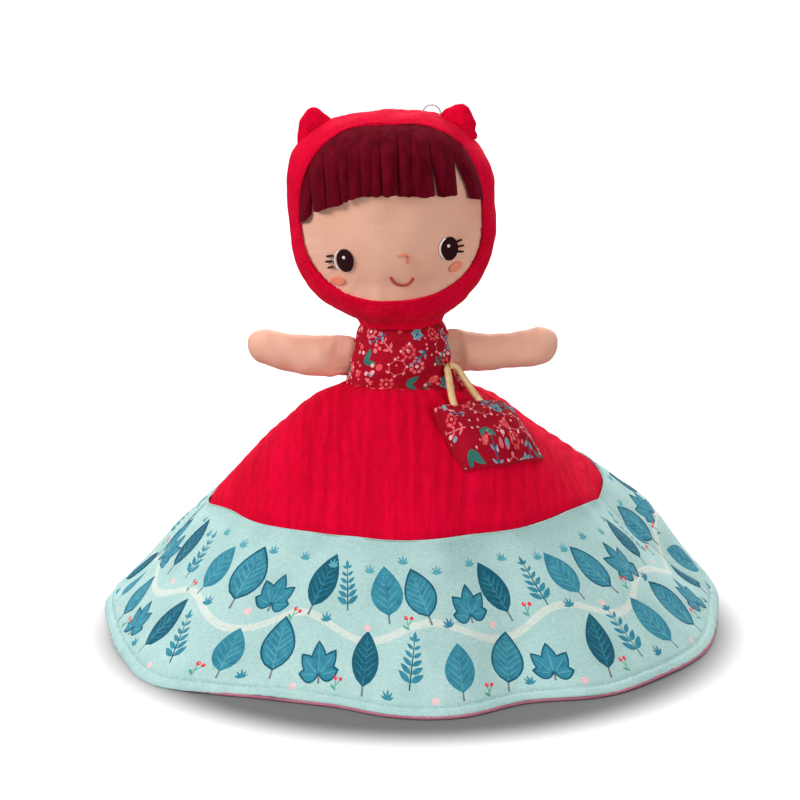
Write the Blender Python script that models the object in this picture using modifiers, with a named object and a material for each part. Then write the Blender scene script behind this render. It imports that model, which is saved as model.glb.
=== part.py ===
"""A topsy turvy doll: two cloth dolls sewn together at the waist, with one skirt that flips over either.

Metres, +Z up. The upper doll faces -Y. The origin is where the lower doll's crown rests on the table.
"""

import math

import bmesh
import bpy
from mathutils import Matrix, Vector

# Air left between sewn neighbours, and how far a resting form is cut flat
SEWN_GAP = 0.0004
FLAT_DEPTH = 0.0005
OVERRUN = 0.02

# Waist, where both dolls and the skirt meet
WAIST_HEIGHT = 0.116
WAIST_HALF_WIDTH = 0.0255
BODICE_DEPTH_SHARE = 0.82

# Skirt: a domed upper part, a band round its foot, a lining and the stitched hem
SEAM_RADIUS = 0.096
SEAM_HEIGHT = 0.058
SEAM_LIFT = 0.0045
SEAM_LIFT_SHARE = 0.55
SEAM_SAG = 0.008
SEAM_SAG_AZIMUTH = math.radians(18)
SEAM_SAG_WIDTH = math.radians(14)
HEM_RADIUS = 0.1505
DOME_POWER = 1.7
FOLD_DEPTH = 0.010
RED_THICKNESS = 0.001
BAND_THICKNESS = 0.0008
LINING_THICKNESS = 0.0007
LAYER_AIR = 0.0013
STEEP_SHARE = 2.0
HEM_WIDTH = 0.0045
HEM_THICKNESS = 0.0026
HEM_SINK = 0.0007

# Reach of the hem round the doll: azimuth in degrees, and share of the fold depth
HEM_FOLD_SHARES = (
    (-180, -0.15), (-164, -0.15), (-150, 0.35), (-136, 1.0), (-125, -0.05), (-116, -0.85), (-102, -1.0),
    (-90, -0.05), (-80, 0.2), (-66, -0.5), (-52, 0.75), (-40, 1.05), (-26, 1.45), (-8, 1.2), (14, 1.7),
    (30, 1.2), (46, 0.1), (64, -0.8), (84, 0.1), (100, 0.5), (116, -0.7), (134, 0.2), (150, -0.1),
    (166, -0.5), (180, -0.15),
)
# Swells and sags of the cloth: azimuth and width in degrees, height as a share of the fold depth, and the
# shares of the hem radius at which each starts, is full, starts to fade and ends
SKIRT_SWELL_SHARES = (
    (24, 17, 1.35, 0.45, 0.745, 0.80, 0.97),
    (18, 30, -0.28, 0.24, 0.345, 0.40, 0.63),
    (170, 26, -0.75, 0.235, 0.49, 0.53, 0.745),
    (-2, 7, -0.45, 0.565, 0.73, 0.86, 0.97),
    (-178, 7, -0.40, 0.60, 0.73, 0.86, 0.97),
)

# Upper doll, heights above the waist
HEAD_HALF_WIDTH = 0.0505
HEAD_CENTRE = 0.087
HEAD_RISE = 0.050
HEAD_DROP = 0.055
HEAD_NECK = 0.0208
CROWN_POWER = 2.8
CHEST_HALF_WIDTH = 0.0225
NECK_PIVOT = 0.018
NECK_BALL = 0.024
SHOULDER_HEIGHT = 0.0145
ARM_LENGTH = 0.0415
ARM_RADIUS = 0.0092
ARM_RAISE = math.radians(6)
HEAD_TILT = math.radians(-2.5)
SHOULDER_OUT_SHARE = 0.5
ARM_SHAPE_SHARES = ((0.0, 1.0), (0.25, 0.97), (0.5, 0.96), (0.75, 1.0), (1.0, 1.0))

# Lower doll, heights below the waist
INNER_HALF_WIDTH = 0.040
INNER_RISE = 0.0385
INNER_DROP = 0.044
INNER_NECK = 0.0188
INNER_CROWN_POWER = 4.0
INNER_CHEST_HALF_WIDTH = 0.0215
INNER_NECK_SEAT = 0.018
INNER_BALL = 0.022
INNER_SHOULDER_ABOVE = 0.0005
INNER_ARM_LENGTH = 0.038
INNER_ARM_RADIUS = 0.0078
INNER_ARM_RAISE = math.radians(40)

# Head shape common to both
CHIN_POWER = 2.2
NECK_BLEND = 0.003
HEAD_DEPTH_SHARE = 0.74
OPENING_WIDTH_SHARE = 0.875
OPENING_RISE_SHARE = 0.92
OPENING_DROP_SHARE = 0.69
OPENING_POWER = 2.55
FACE_SET_BACK = 0.0017
FACE_THICKNESS = 0.0015

# Fringe of cut cloth
LOCK_COUNT = 12
LOCK_THICKNESS = 0.0011
SLIT_WIDTH = 0.0005
SLIT_FLARE = 0.0008
HEADER_WIDTH_SHARE = 0.16
FRINGE_REACH_SHARE = 0.93
FRINGE_AIR = 0.0008
FRINGE_FOOT_SHARE = 0.27
FRINGE_FALL_SHARE = 0.16

# Embroidery
PATCH_THICKNESS = 0.0005
THREAD_RADIUS = 0.0005
EYE_HALF_WIDTH = 0.0050
EYE_HALF_HEIGHT = 0.0058
EYE_ACROSS_SHARE = 0.50
CHEEK_HALF_WIDTH = 0.0035
CHEEK_HALF_HEIGHT = 0.0023
CHEEK_ACROSS_SHARE = 0.575
CHEEK_DROP_SHARE = 0.20
MOUTH_DROP_SHARE = 0.25
MOUTH_HALF_WIDTH = 0.0055
MOUTH_DEPTH = 0.0036
NOSE_DROP_SHARE = 0.05
NOSE_HALF_WIDTH = 0.0018
FEATURE_DROP_SHARE = 0.285
FEATURE_ASIDE_SHARE = 0.04
FEATURE_TILT = math.radians(4.2)

# Ears on the hood
EAR_HALF_WIDTH = 0.0100
EAR_HALF_HEIGHT = 0.0150
EAR_HALF_DEPTH = 0.0055
EAR_ACROSS_SHARE = 0.66
EAR_UP_SHARE = 0.76
EAR_LEAN = math.radians(8.5)

# Thread loop on the crown
LOOP_RADIUS = 0.0045
LOOP_THREAD = 0.0003
LOOP_ACROSS_SHARE = 0.42

# Bag on its handle
BAG_AZIMUTH = math.radians(-49)
BAG_SLOPE = math.radians(44)
BAG_WIDTH = 0.050
BAG_HEIGHT = 0.034
BAG_FOOT_SHARE = 0.92
BAG_THICKNESS = 0.0010
BAG_BULGE = 0.0028
BAG_ASIDE = 0.0039
STEEP_LIFT_SHARE = 1.35
HANDLE_RADIUS = 0.0015
HANDLE_DROP = 0.026
HANDLE_LEFT_FOOT = 0.0095
HANDLE_RIGHT_FOOT = 0.0075
HANDLE_BEND = 0.0058
TACK_RADIUS = 0.0005
TACK_REACH = 0.0045
TACK_AZIMUTH = math.radians(-30)
TACK_HEIGHT = 0.0125

# Mesh densities
RING_SIDES = 24
BALL_SIDES = 32
ARM_SIDES = 16
ARM_CAP_STEPS = 5
HEAD_STEPS = 8
CHEST_STEPS = 5
EAR_SIDES = 16
EAR_RINGS = 10
SKIRT_COLUMNS = 32
RED_ROWS = 7
BAND_ROWS = 5
LINING_ROWS = 8
PATCH_CELLS = 4
LOCK_ROWS = 7
SMILE_STEPS = 8
LOOP_STEPS = 12
BAG_COLUMNS = 10
BAG_ROWS = 6
HANDLE_STEPS = 10
TACK_SIDES = 14
TACK_CORNERS = 6
FIT_ROUNDS = 12
HALF = 0.5
NEAR_ONE = 0.97
CLOTH_ROUGHNESS = 0.9

# Worked out from the sizes above
LINING_DROP = (RED_THICKNESS + LINING_THICKNESS) * HALF * STEEP_SHARE + LAYER_AIR
BAND_SLOPE = math.atan2(SEAM_HEIGHT, HEM_RADIUS - SEAM_RADIUS)
HEM_LEVEL = (HEM_THICKNESS + LINING_DROP * math.cos(BAND_SLOPE)) * HALF * math.cos(BAND_SLOPE) - HEM_SINK
TACK_RING = (TACK_REACH + HANDLE_RADIUS) * HALF
INNER_CENTRE = WAIST_HEIGHT + FLAT_DEPTH - INNER_RISE
INNER_PIVOT = INNER_CENTRE - INNER_DROP - INNER_NECK_SEAT
INNER_SHOULDER = INNER_PIVOT + INNER_SHOULDER_ABOVE

UPPER = {
    "prefix": "",
    "half_width": HEAD_HALF_WIDTH,
    "centre": HEAD_CENTRE,
    "rise": HEAD_RISE,
    "drop": HEAD_DROP,
    "neck": HEAD_NECK,
    "crown_power": CROWN_POWER,
    "chest": CHEST_HALF_WIDTH,
    "pivot": NECK_PIVOT,
    "ball": NECK_BALL,
    "shoulder": SHOULDER_HEIGHT,
    "arm_length": ARM_LENGTH,
    "arm_radius": ARM_RADIUS,
    "arm_raise": ARM_RAISE,
    "place": Matrix.Translation((0, 0, WAIST_HEIGHT)),
    "tilt": HEAD_TILT,
}
LOWER = {
    "prefix": "inner_",
    "half_width": INNER_HALF_WIDTH,
    "centre": INNER_CENTRE,
    "rise": INNER_RISE,
    "drop": INNER_DROP,
    "neck": INNER_NECK,
    "crown_power": INNER_CROWN_POWER,
    "chest": INNER_CHEST_HALF_WIDTH,
    "pivot": INNER_PIVOT,
    "ball": INNER_BALL,
    "shoulder": INNER_SHOULDER,
    "arm_length": INNER_ARM_LENGTH,
    "arm_radius": INNER_ARM_RADIUS,
    "arm_raise": INNER_ARM_RAISE,
    "place": Matrix.Translation((0, 0, WAIST_HEIGHT)) @ Matrix.Rotation(math.pi, 4, "Y"),
    "tilt": 0.0,
}

COLOURS = {
    "red_cloth": (0.72, 0.01, 0.04),
    "print_cloth": (0.42, 0.02, 0.05),
    "skin_cloth": (0.80, 0.50, 0.36),
    "hair_cloth": (0.14, 0.01, 0.03),
    "aqua_cloth": (0.46, 0.72, 0.68),
    "pink_cloth": (0.72, 0.30, 0.38),
    "dark_thread": (0.03, 0.01, 0.01),
    "cheek_thread": (0.85, 0.28, 0.12),
    "mouth_thread": (0.60, 0.10, 0.07),
    "handle_cord": (0.72, 0.52, 0.28),
    "inner_hair": (0.35, 0.14, 0.05),
}


def clear_scene():
    for item in list(bpy.data.objects):
        bpy.data.objects.remove(item, do_unlink=True)


def new_collection(name):
    collection = bpy.data.collections.new(name)
    bpy.context.scene.collection.children.link(collection)
    return collection


def cloth(name, colour):
    """A soft, matt material of one colour."""
    material = bpy.data.materials.new(name)
    material.use_nodes = True
    shader = material.node_tree.nodes["Principled BSDF"]
    shader.inputs["Base Color"].default_value = (*COLOURS[colour], 1)
    shader.inputs["Roughness"].default_value = CLOTH_ROUGHNESS
    shader.inputs["Metallic"].default_value = 0.0
    return material


def add_object(name, mesh, colour, smooth=True):
    """Link a mesh as a part of the doll with its own material."""
    mesh.materials.clear()
    mesh.materials.append(cloth(name + "_finish", colour))
    if smooth:
        mesh.shade_smooth()
    item = bpy.data.objects.new(name, mesh)
    PARTS.objects.link(item)
    return item


def mesh_from(bm, name):
    bmesh.ops.recalc_face_normals(bm, faces=bm.faces)
    mesh = bpy.data.meshes.new(name)
    bm.to_mesh(mesh)
    bm.free()
    return mesh


def add_cutter(name, mesh):
    item = bpy.data.objects.new(name, mesh)
    CUTTERS.objects.link(item)
    item.hide_render = True
    item.display_type = "WIRE"
    return item


def combine(item, cutter, operation):
    """Boolean of two parts, kept as a modifier."""
    modifier = item.modifiers.new(operation.lower() + "_" + cutter.name, "BOOLEAN")
    modifier.operation = operation
    modifier.solver = "EXACT"
    modifier.object = cutter


def thicken(item, thickness):
    """Give an open sheet its thickness, half to each side."""
    modifier = item.modifiers.new("thickness", "SOLIDIFY")
    modifier.thickness = thickness
    modifier.offset = 0
    modifier.use_even_offset = True


def loft(name, rings):
    """Closed solid through rings of equal point counts, with flat ends."""
    bm = bmesh.new()
    loops = [[bm.verts.new(point) for point in ring] for ring in rings]
    for lower, upper in zip(loops, loops[1:]):
        for index in range(len(lower)):
            after = (index + 1) % len(lower)
            bm.faces.new((lower[index], lower[after], upper[after], upper[index]))
    bm.faces.new(loops[0])
    bm.faces.new(loops[-1])
    return mesh_from(bm, name)


def oval(centre, half_x, half_y, sides=RING_SIDES):
    """A level oval ring of points."""
    points = []
    for index in range(sides):
        turn = math.tau * index / sides
        points.append(centre + Vector((half_x * math.cos(turn), half_y * math.sin(turn), 0)))
    return points


def smooth_step(value):
    value = min(max(value, 0.0), 1.0)
    return value * value * (3 - 2 * value)


def sheet(name, columns, rows, place, thickness, colour, keep=None):
    """Cloth panel: a grid whose points are placed by a function of two shares, then thickened."""
    bm = bmesh.new()
    bmesh.ops.create_grid(bm, x_segments=columns, y_segments=rows, size=HALF)
    if keep:
        drop = []
        for face in bm.faces:
            middle = face.calc_center_median()
            if not keep(middle.x + HALF, middle.y + HALF):
                drop.append(face)
        bmesh.ops.delete(bm, geom=drop, context="FACES")
    for vertex in bm.verts:
        vertex.co = place(vertex.co.x + HALF, vertex.co.y + HALF)
    mesh = bpy.data.meshes.new(name)
    bm.to_mesh(mesh)
    bm.free()
    item = add_object(name, mesh, colour)
    thicken(item, thickness)
    return item


def tube(name, points, radius, colour, place=None, cyclic=False):
    """Thread or cord along a list of points."""
    curve = bpy.data.curves.new(name, "CURVE")
    curve.dimensions = "3D"
    curve.bevel_depth = radius
    curve.bevel_resolution = 2
    curve.use_fill_caps = True
    spline = curve.splines.new("POLY")
    spline.points.add(len(points) - 1)
    spline.use_cyclic_u = cyclic
    for target, point in zip(spline.points, points):
        target.co = (*point, 1)
    curve.materials.append(cloth(name + "_finish", colour))
    item = bpy.data.objects.new(name, curve)
    PARTS.objects.link(item)
    if place:
        item.matrix_world = place
    return item


# Skirt


def profile_height(radius):
    """Height of the outer cloth above the table, at a radius of the plain round skirt."""
    if radius <= SEAM_RADIUS:
        share = max(radius - WAIST_HALF_WIDTH - SEWN_GAP, 0.0)
        share /= SEAM_RADIUS - WAIST_HALF_WIDTH - SEWN_GAP
        return SEAM_HEIGHT + (WAIST_HEIGHT - SEAM_HEIGHT) * (1 - share**DOME_POWER)
    share = (HEM_RADIUS - radius) / (HEM_RADIUS - SEAM_RADIUS)
    return HEM_LEVEL + (SEAM_HEIGHT - HEM_LEVEL) * share


def turn_between(azimuth, place):
    """How far an azimuth is from a place, the short way round."""
    return math.remainder(azimuth - place, math.tau)


def fold_share(azimuth):
    """Reach of the hem at an azimuth, on a smooth closed curve through the shares."""
    degrees = math.degrees(turn_between(azimuth, 0.0))
    last = len(HEM_FOLD_SHARES) - 1
    slot = 0
    while slot < last - 1 and HEM_FOLD_SHARES[slot + 1][0] <= degrees:
        slot += 1
    start_place, start = HEM_FOLD_SHARES[slot]
    end_place, end = HEM_FOLD_SHARES[slot + 1]
    leave = (end - HEM_FOLD_SHARES[(slot - 1) % last][1]) * HALF
    arrive = (HEM_FOLD_SHARES[(slot + 2) % last][1] - start) * HALF
    share = (degrees - start_place) / (end_place - start_place)
    blend = smooth_step(share)
    rest = 1 - share
    return start + (end - start) * blend + share * rest * (leave * rest - arrive * share)


def swell_height(azimuth, radius):
    """How far the broad swells and sags lift the cloth."""
    height = 0.0
    reach = radius / HEM_RADIUS
    for place, width, lift, start, full, fade, end in SKIRT_SWELL_SHARES:
        away = turn_between(azimuth, math.radians(place)) / math.radians(width)
        level = smooth_step((reach - start) / (full - start)) * smooth_step((end - reach) / (end - fade))
        height += FOLD_DEPTH * lift * level * math.exp(-(away**2))
    return height


def skirt_height(azimuth, radius):
    return profile_height(radius) + swell_height(azimuth, radius)


def skirt_point(azimuth, radius, drop=0.0):
    """Point of the skirt at an azimuth, with the folds that deepen towards the hem."""
    first = WAIST_HALF_WIDTH + SEWN_GAP
    growth = max(radius - first, 0.0) / (HEM_RADIUS - first)
    reach = radius + growth**2 * FOLD_DEPTH * fold_share(azimuth)
    roundness = min(1.0, growth / HALF)
    flat = 1 - (1 - BODICE_DEPTH_SHARE) * (1 - roundness)
    height = skirt_height(azimuth, radius) - drop
    return Vector((reach * math.cos(azimuth), reach * flat * math.sin(azimuth), height))


def seam_radius(azimuth):
    """The seam between dome and band rides higher in front and behind, and sags at one side fold."""
    away = turn_between(azimuth, SEAM_SAG_AZIMUTH) / SEAM_SAG_WIDTH
    lift = SEAM_LIFT * smooth_step(abs(math.sin(azimuth)) / SEAM_LIFT_SHARE)
    return SEAM_RADIUS - lift + SEAM_SAG * math.exp(-(away**2))


def skirt_panel(name, rows, start, end, drop, thickness, side, colour):
    """Half of a skirt layer: side -1 is the front half, side 1 the back half."""

    def place(across, down):
        azimuth = math.pi * across + (math.pi if side < 0 else 0.0)
        first = start(azimuth)
        point = skirt_point(azimuth, first + (end(azimuth) - first) * down, drop)
        point.y += side * SEWN_GAP * HALF
        return point

    return sheet(name, SKIRT_COLUMNS, rows, place, thickness, colour)


def make_skirt():
    waist = WAIST_HALF_WIDTH + SEWN_GAP
    hem_start = HEM_RADIUS - HEM_WIDTH
    for side, half in ((-1, "front"), (1, "back")):
        skirt_panel(
            "skirt_" + half,
            RED_ROWS,
            lambda azimuth: waist,
            lambda azimuth: seam_radius(azimuth) - SEWN_GAP,
            0.0,
            RED_THICKNESS,
            side,
            "red_cloth",
        )
        skirt_panel(
            "band_" + half,
            BAND_ROWS,
            seam_radius,
            lambda azimuth: hem_start - SEWN_GAP,
            0.0,
            BAND_THICKNESS,
            side,
            "aqua_cloth",
        )
        skirt_panel(
            "lining_" + half,
            LINING_ROWS,
            lambda azimuth: waist,
            lambda azimuth: hem_start - SEWN_GAP - slope_lag(LINING_DROP),
            LINING_DROP,
            LINING_THICKNESS,
            side,
            "pink_cloth",
        )
    make_hem(hem_start)


def slope_lag(drop):
    """How much nearer the middle a layer ends when it lies this far below the band, edge to edge."""
    return drop * math.sin(BAND_SLOPE) * math.cos(BAND_SLOPE)


def make_hem(start):
    """The stitched edge that joins band and lining: one closed ring, cut flat on the table."""
    rings = []
    half = HEM_THICKNESS * HALF
    lift = Vector((half * math.sin(BAND_SLOPE), half * math.cos(BAND_SLOPE)))
    lag = slope_lag(LINING_DROP * HALF)
    inner = start - lag
    outer = HEM_RADIUS - lag
    sides = 2 * SKIRT_COLUMNS
    for radius, outward in ((inner, 1), (outer, 1), (outer, -1), (inner, -1)):
        ring = []
        for index in range(sides):
            azimuth = math.tau * index / sides
            point = skirt_point(azimuth, radius, LINING_DROP * HALF)
            point.x += outward * lift.x * math.cos(azimuth)
            point.y += outward * lift.x * math.sin(azimuth)
            point.z = max(point.z + outward * lift.y, 0.0)
            ring.append(point)
        rings.append(ring)
    bm = bmesh.new()
    loops = [[bm.verts.new(point) for point in ring] for ring in rings]
    for first, second in zip(loops, loops[1:] + loops[:1]):
        for index in range(sides):
            after = (index + 1) % sides
            bm.faces.new((first[index], first[after], second[after], second[index]))
    add_object("hem_edge", mesh_from(bm, "hem_edge"), "aqua_cloth", smooth=False)


# Heads


def head_radius(doll, height, inflate=0.0):
    """Half width of a head at a height above its own waist."""
    if height >= doll["centre"]:
        share = (height - doll["centre"]) / (doll["rise"] + inflate)
        power = doll["crown_power"]
        return (doll["half_width"] + inflate) * max(1 - share**power, 0.0) ** (1 / power)
    share = min((doll["centre"] - height) / (doll["drop"] + inflate), 1.0)
    chin = (doll["half_width"] + inflate) * (1 - share**CHIN_POWER) ** (1 / CHIN_POWER)
    neck = doll["neck"] + inflate
    return HALF * (chin + neck + math.hypot(chin - neck, NECK_BLEND))


def depth_share(doll, height):
    """Heads are flatter front to back than across; the neck is nearly round."""
    chin = doll["centre"] - doll["drop"]
    rise = smooth_step((height - chin) / (doll["drop"] * HALF))
    return 1 - (1 - HEAD_DEPTH_SHARE) * rise


def head_mesh(doll, name, inflate=0.0):
    """The stuffed head and neck as a lofted form."""
    rings = []
    heights = [doll["centre"] - doll["drop"]]
    for step in range(1, HEAD_STEPS):
        turn = HALF * math.pi * (1 - step / HEAD_STEPS)
        share = math.sin(turn) ** (2 / CHIN_POWER)
        heights.append(doll["centre"] - (doll["drop"] + inflate) * share)
    for step in range(HEAD_STEPS):
        turn = HALF * math.pi * NEAR_ONE * step / (HEAD_STEPS - 1)
        share = math.sin(turn) ** (2 / doll["crown_power"])
        heights.append(doll["centre"] + (doll["rise"] + inflate) * share)
    for height in heights:
        radius = head_radius(doll, height, inflate)
        depth = radius * depth_share(doll, height)
        rings.append(oval(Vector((0, 0, height)), radius, depth))
    return loft(name, rings)


def front_point(doll, across, height, inflate):
    """A point on the front of the head, at a sideways place and a height."""
    radius = head_radius(doll, height, inflate)
    depth = depth_share(doll, height) * math.sqrt(max(radius**2 - across**2, 0.0))
    return Vector((across, -depth, height))


def opening_points(doll, gap, sides=2 * RING_SIDES):
    """Outline of the face opening, as (across, height) pairs."""
    width = doll["half_width"] * OPENING_WIDTH_SHARE - gap
    points = []
    for index in range(sides):
        turn = math.tau * index / sides
        cosine = math.cos(turn)
        sine = math.sin(turn)
        across = math.copysign(abs(cosine) ** (2 / OPENING_POWER), cosine) * width
        tall = doll["rise"] * OPENING_RISE_SHARE if sine > 0 else doll["drop"] * OPENING_DROP_SHARE
        up = math.copysign(abs(sine) ** (2 / OPENING_POWER), sine) * (tall - gap)
        points.append((across, doll["centre"] + up))
    return points


def opening_prism(doll, name, gap):
    """Cutter through the front of the head with the outline of the face opening."""
    near = -doll["half_width"] - OVERRUN
    outline = opening_points(doll, gap)
    rings = [[Vector((x, y, z)) for x, z in outline] for y in (near, 0.0)]
    return add_cutter(name, loft(name, rings))


def ball(name, radius, centre, sides):
    """Round cutter on a joint's centre."""
    bm = bmesh.new()
    bmesh.ops.create_uvsphere(bm, u_segments=sides, v_segments=sides // 2, radius=radius)
    bmesh.ops.translate(bm, vec=centre, verts=bm.verts)
    return add_cutter(name, mesh_from(bm, name))


def seat(doll, items, tilt=0.0):
    """Put parts made in a doll's own frame where that doll is, leaning about its neck."""
    pivot = Vector((0, 0, doll["pivot"]))
    lean = Matrix.Translation(pivot) @ Matrix.Rotation(tilt, 4, "Y") @ Matrix.Translation(-pivot)
    for item in items:
        item.matrix_world = doll["place"] @ lean @ item.matrix_world


def make_head(doll, shell_name, shell_colour, hair_colour):
    """Hood or bonnet, the face set into it, the fringe and the embroidery."""
    prefix = doll["prefix"]
    pivot = Vector((0, 0, doll["pivot"]))
    floor = -FACE_SET_BACK - FACE_THICKNESS
    items = []
    shell = add_object(shell_name, head_mesh(doll, shell_name), shell_colour)
    window = opening_prism(doll, prefix + "face_window", 0.0)
    core_mesh = head_mesh(doll, prefix + "core", floor - SEWN_GAP)
    core = add_cutter(prefix + "core", core_mesh)
    socket = ball(prefix + "neck_socket", doll["ball"] + SEWN_GAP, pivot, BALL_SIDES)
    combine(shell, window, "DIFFERENCE")
    combine(shell, core, "UNION")
    combine(shell, socket, "DIFFERENCE")

    face = add_object(prefix + "face", head_mesh(doll, prefix + "face", -FACE_SET_BACK), "skin_cloth")
    pane = opening_prism(doll, prefix + "face_pane", SEWN_GAP)
    hollow = add_cutter(prefix + "hollow", head_mesh(doll, prefix + "hollow", floor))
    combine(face, pane, "INTERSECT")
    combine(face, hollow, "DIFFERENCE")
    items += [shell, window, core, socket, face, pane, hollow]

    items.append(make_fringe(doll, hair_colour))
    items += make_features(doll)
    if doll is LOWER:
        cut_crown(doll, shell, items)
    seat(doll, items, doll["tilt"])


def cut_crown(doll, shell, items):
    """The lower doll stands on its crown, which is pressed flat."""
    level = doll["centre"] + doll["rise"] - FLAT_DEPTH
    wide = doll["half_width"] + OVERRUN
    rings = []
    for height in (level, level + OVERRUN):
        corners = ((-wide, -wide), (wide, -wide), (wide, wide), (-wide, wide))
        rings.append([Vector((x, y, height)) for x, y in corners])
    table = add_cutter("crown_flat", loft("crown_flat", rings))
    combine(shell, table, "DIFFERENCE")
    items.append(table)


def make_fringe(doll, colour):
    """A strip of cloth cut into hanging locks, set under the top edge of the opening."""
    width = doll["half_width"] * OPENING_WIDTH_SHARE - SEWN_GAP
    widest = math.asin(OPENING_WIDTH_SHARE * FRINGE_REACH_SHARE)
    top = doll["rise"] * OPENING_RISE_SHARE - 2 * SEWN_GAP
    foot = doll["centre"] + doll["rise"] * FRINGE_FOOT_SHARE
    fall = doll["rise"] * FRINGE_FALL_SHARE
    lift = LOCK_THICKNESS * HALF + FRINGE_AIR - FACE_SET_BACK
    columns = 2 * LOCK_COUNT - 1
    pitch = 2 * widest / LOCK_COUNT

    def place(along, down):
        edge = round(along * columns)
        lock = edge // 2
        slit = (SLIT_WIDTH + SLIT_FLARE * down) * HALF if 0 < edge < columns else 0.0
        turn = -widest + pitch * (lock + edge % 2)
        across = doll["half_width"] * math.sin(turn) + (-slit if edge % 2 else slit)
        share = min(abs(across) / width, 1.0)
        high = doll["centre"] + top * (1 - share**OPENING_POWER) ** (1 / OPENING_POWER)
        low = foot - fall * (turn / widest) ** 2
        return front_point(doll, across, high + (low - high) * down, lift)

    def keep(along, down):
        column = int(along * columns)
        return column % 2 == 0 or down < HEADER_WIDTH_SHARE

    name = doll["prefix"] + "fringe"
    return sheet(name, columns, LOCK_ROWS, place, LOCK_THICKNESS, colour, keep)


def make_features(doll):
    """Embroidered eyes, cheeks, nose and mouth, laid on the face."""
    prefix = doll["prefix"]
    size = doll["half_width"] / HEAD_HALF_WIDTH
    middle_x = doll["half_width"] * FEATURE_ASIDE_SHARE
    middle_z = doll["centre"] - doll["half_width"] * FEATURE_DROP_SHARE
    raised = PATCH_THICKNESS * HALF + SEWN_GAP - FACE_SET_BACK
    cosine = math.cos(FEATURE_TILT)
    sine = math.sin(FEATURE_TILT)

    def on_face(x, z, lift):
        across = middle_x + x * cosine - z * sine
        return front_point(doll, across, middle_z + x * sine + z * cosine, lift)

    def patch(name, x, z, half_x, half_z, colour):
        def place(u, v):
            a = 2 * u - 1
            b = 2 * v - 1
            return on_face(
                x + half_x * a * math.sqrt(1 - b * b * HALF),
                z + half_z * b * math.sqrt(1 - a * a * HALF),
                raised,
            )

        return sheet(prefix + name, PATCH_CELLS, PATCH_CELLS, place, PATCH_THICKNESS, colour)

    def stitch(name, points, colour):
        lift = THREAD_RADIUS + SEWN_GAP - FACE_SET_BACK
        return tube(prefix + name, [on_face(x, z, lift) for x, z in points], THREAD_RADIUS, colour)

    made = []
    for side, word in ((-1, "right"), (1, "left")):
        across = side * doll["half_width"]
        made.append(
            patch(
                "eye_" + word,
                across * EYE_ACROSS_SHARE,
                0.0,
                EYE_HALF_WIDTH * size,
                EYE_HALF_HEIGHT * size,
                "dark_thread",
            )
        )
        made.append(
            patch(
                "cheek_" + word,
                across * CHEEK_ACROSS_SHARE,
                -doll["half_width"] * CHEEK_DROP_SHARE,
                CHEEK_HALF_WIDTH * size,
                CHEEK_HALF_HEIGHT * size,
                "cheek_thread",
            )
        )
    smile = []
    for step in range(SMILE_STEPS + 1):
        x = MOUTH_HALF_WIDTH * size * (2 * step / SMILE_STEPS - 1)
        dip = MOUTH_DEPTH * size * (1 - (x / (MOUTH_HALF_WIDTH * size)) ** 2)
        smile.append((x, -doll["half_width"] * MOUTH_DROP_SHARE - dip))
    made.append(stitch("mouth", smile, "mouth_thread"))
    nose_x = NOSE_HALF_WIDTH * size
    nose_z = -doll["half_width"] * NOSE_DROP_SHARE
    nose = ((-nose_x, nose_z), (0.0, nose_z + nose_x * HALF), (nose_x, nose_z - nose_x * HALF))
    made.append(stitch("nose", nose, "cheek_thread"))
    return made


def make_ears(doll):
    """Two small stuffed ears, cut to sit on the hood."""
    items = []
    for side, word in ((-1, "right"), (1, "left")):
        name = "ear_" + word
        bm = bmesh.new()
        bmesh.ops.create_uvsphere(bm, u_segments=EAR_SIDES, v_segments=EAR_RINGS, radius=1)
        size = (EAR_HALF_WIDTH, EAR_HALF_DEPTH, EAR_HALF_HEIGHT)
        bmesh.ops.scale(bm, vec=size, verts=bm.verts)
        lean = Matrix.Rotation(side * EAR_LEAN, 4, "Y")
        bmesh.ops.transform(bm, matrix=lean, verts=bm.verts)
        centre = Vector(
            (
                side * doll["half_width"] * EAR_ACROSS_SHARE,
                0,
                doll["centre"] + doll["rise"] * EAR_UP_SHARE,
            )
        )
        bmesh.ops.translate(bm, vec=centre, verts=bm.verts)
        ear = add_object(name, mesh_from(bm, name), "red_cloth")
        seat_form = add_cutter(name + "_seat", head_mesh(doll, name + "_seat", SEWN_GAP))
        combine(ear, seat_form, "DIFFERENCE")
        items += [ear, seat_form]
    seat(doll, items, doll["tilt"])


def make_hang_loop(doll):
    """A thin thread loop standing on the crown of the hood."""
    across = doll["half_width"] * LOOP_ACROSS_SHARE
    points = []
    for step in range(LOOP_STEPS + 1):
        turn = math.pi * step / LOOP_STEPS
        x = across + LOOP_RADIUS * math.cos(turn)
        foot = head_top(doll, x) + LOOP_THREAD + SEWN_GAP
        points.append(Vector((x, 0, foot + LOOP_RADIUS * math.sin(turn))))
    loop = tube("hang_loop", points, LOOP_THREAD, "handle_cord")
    seat(doll, [loop], doll["tilt"])


def head_top(doll, across):
    """Height of the crown's middle line at a sideways place."""
    power = doll["crown_power"]
    share = min(abs(across) / doll["half_width"], 1.0)
    return doll["centre"] + doll["rise"] * (1 - share**power) ** (1 / power)


# Bodies and arms


def bodice_half(doll, height):
    """Half width of a bodice, which narrows from the waist to the chest."""
    share = smooth_step(height / (doll["pivot"] + doll["ball"] * HALF))
    return WAIST_HALF_WIDTH + (doll["chest"] - WAIST_HALF_WIDTH) * share


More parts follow.
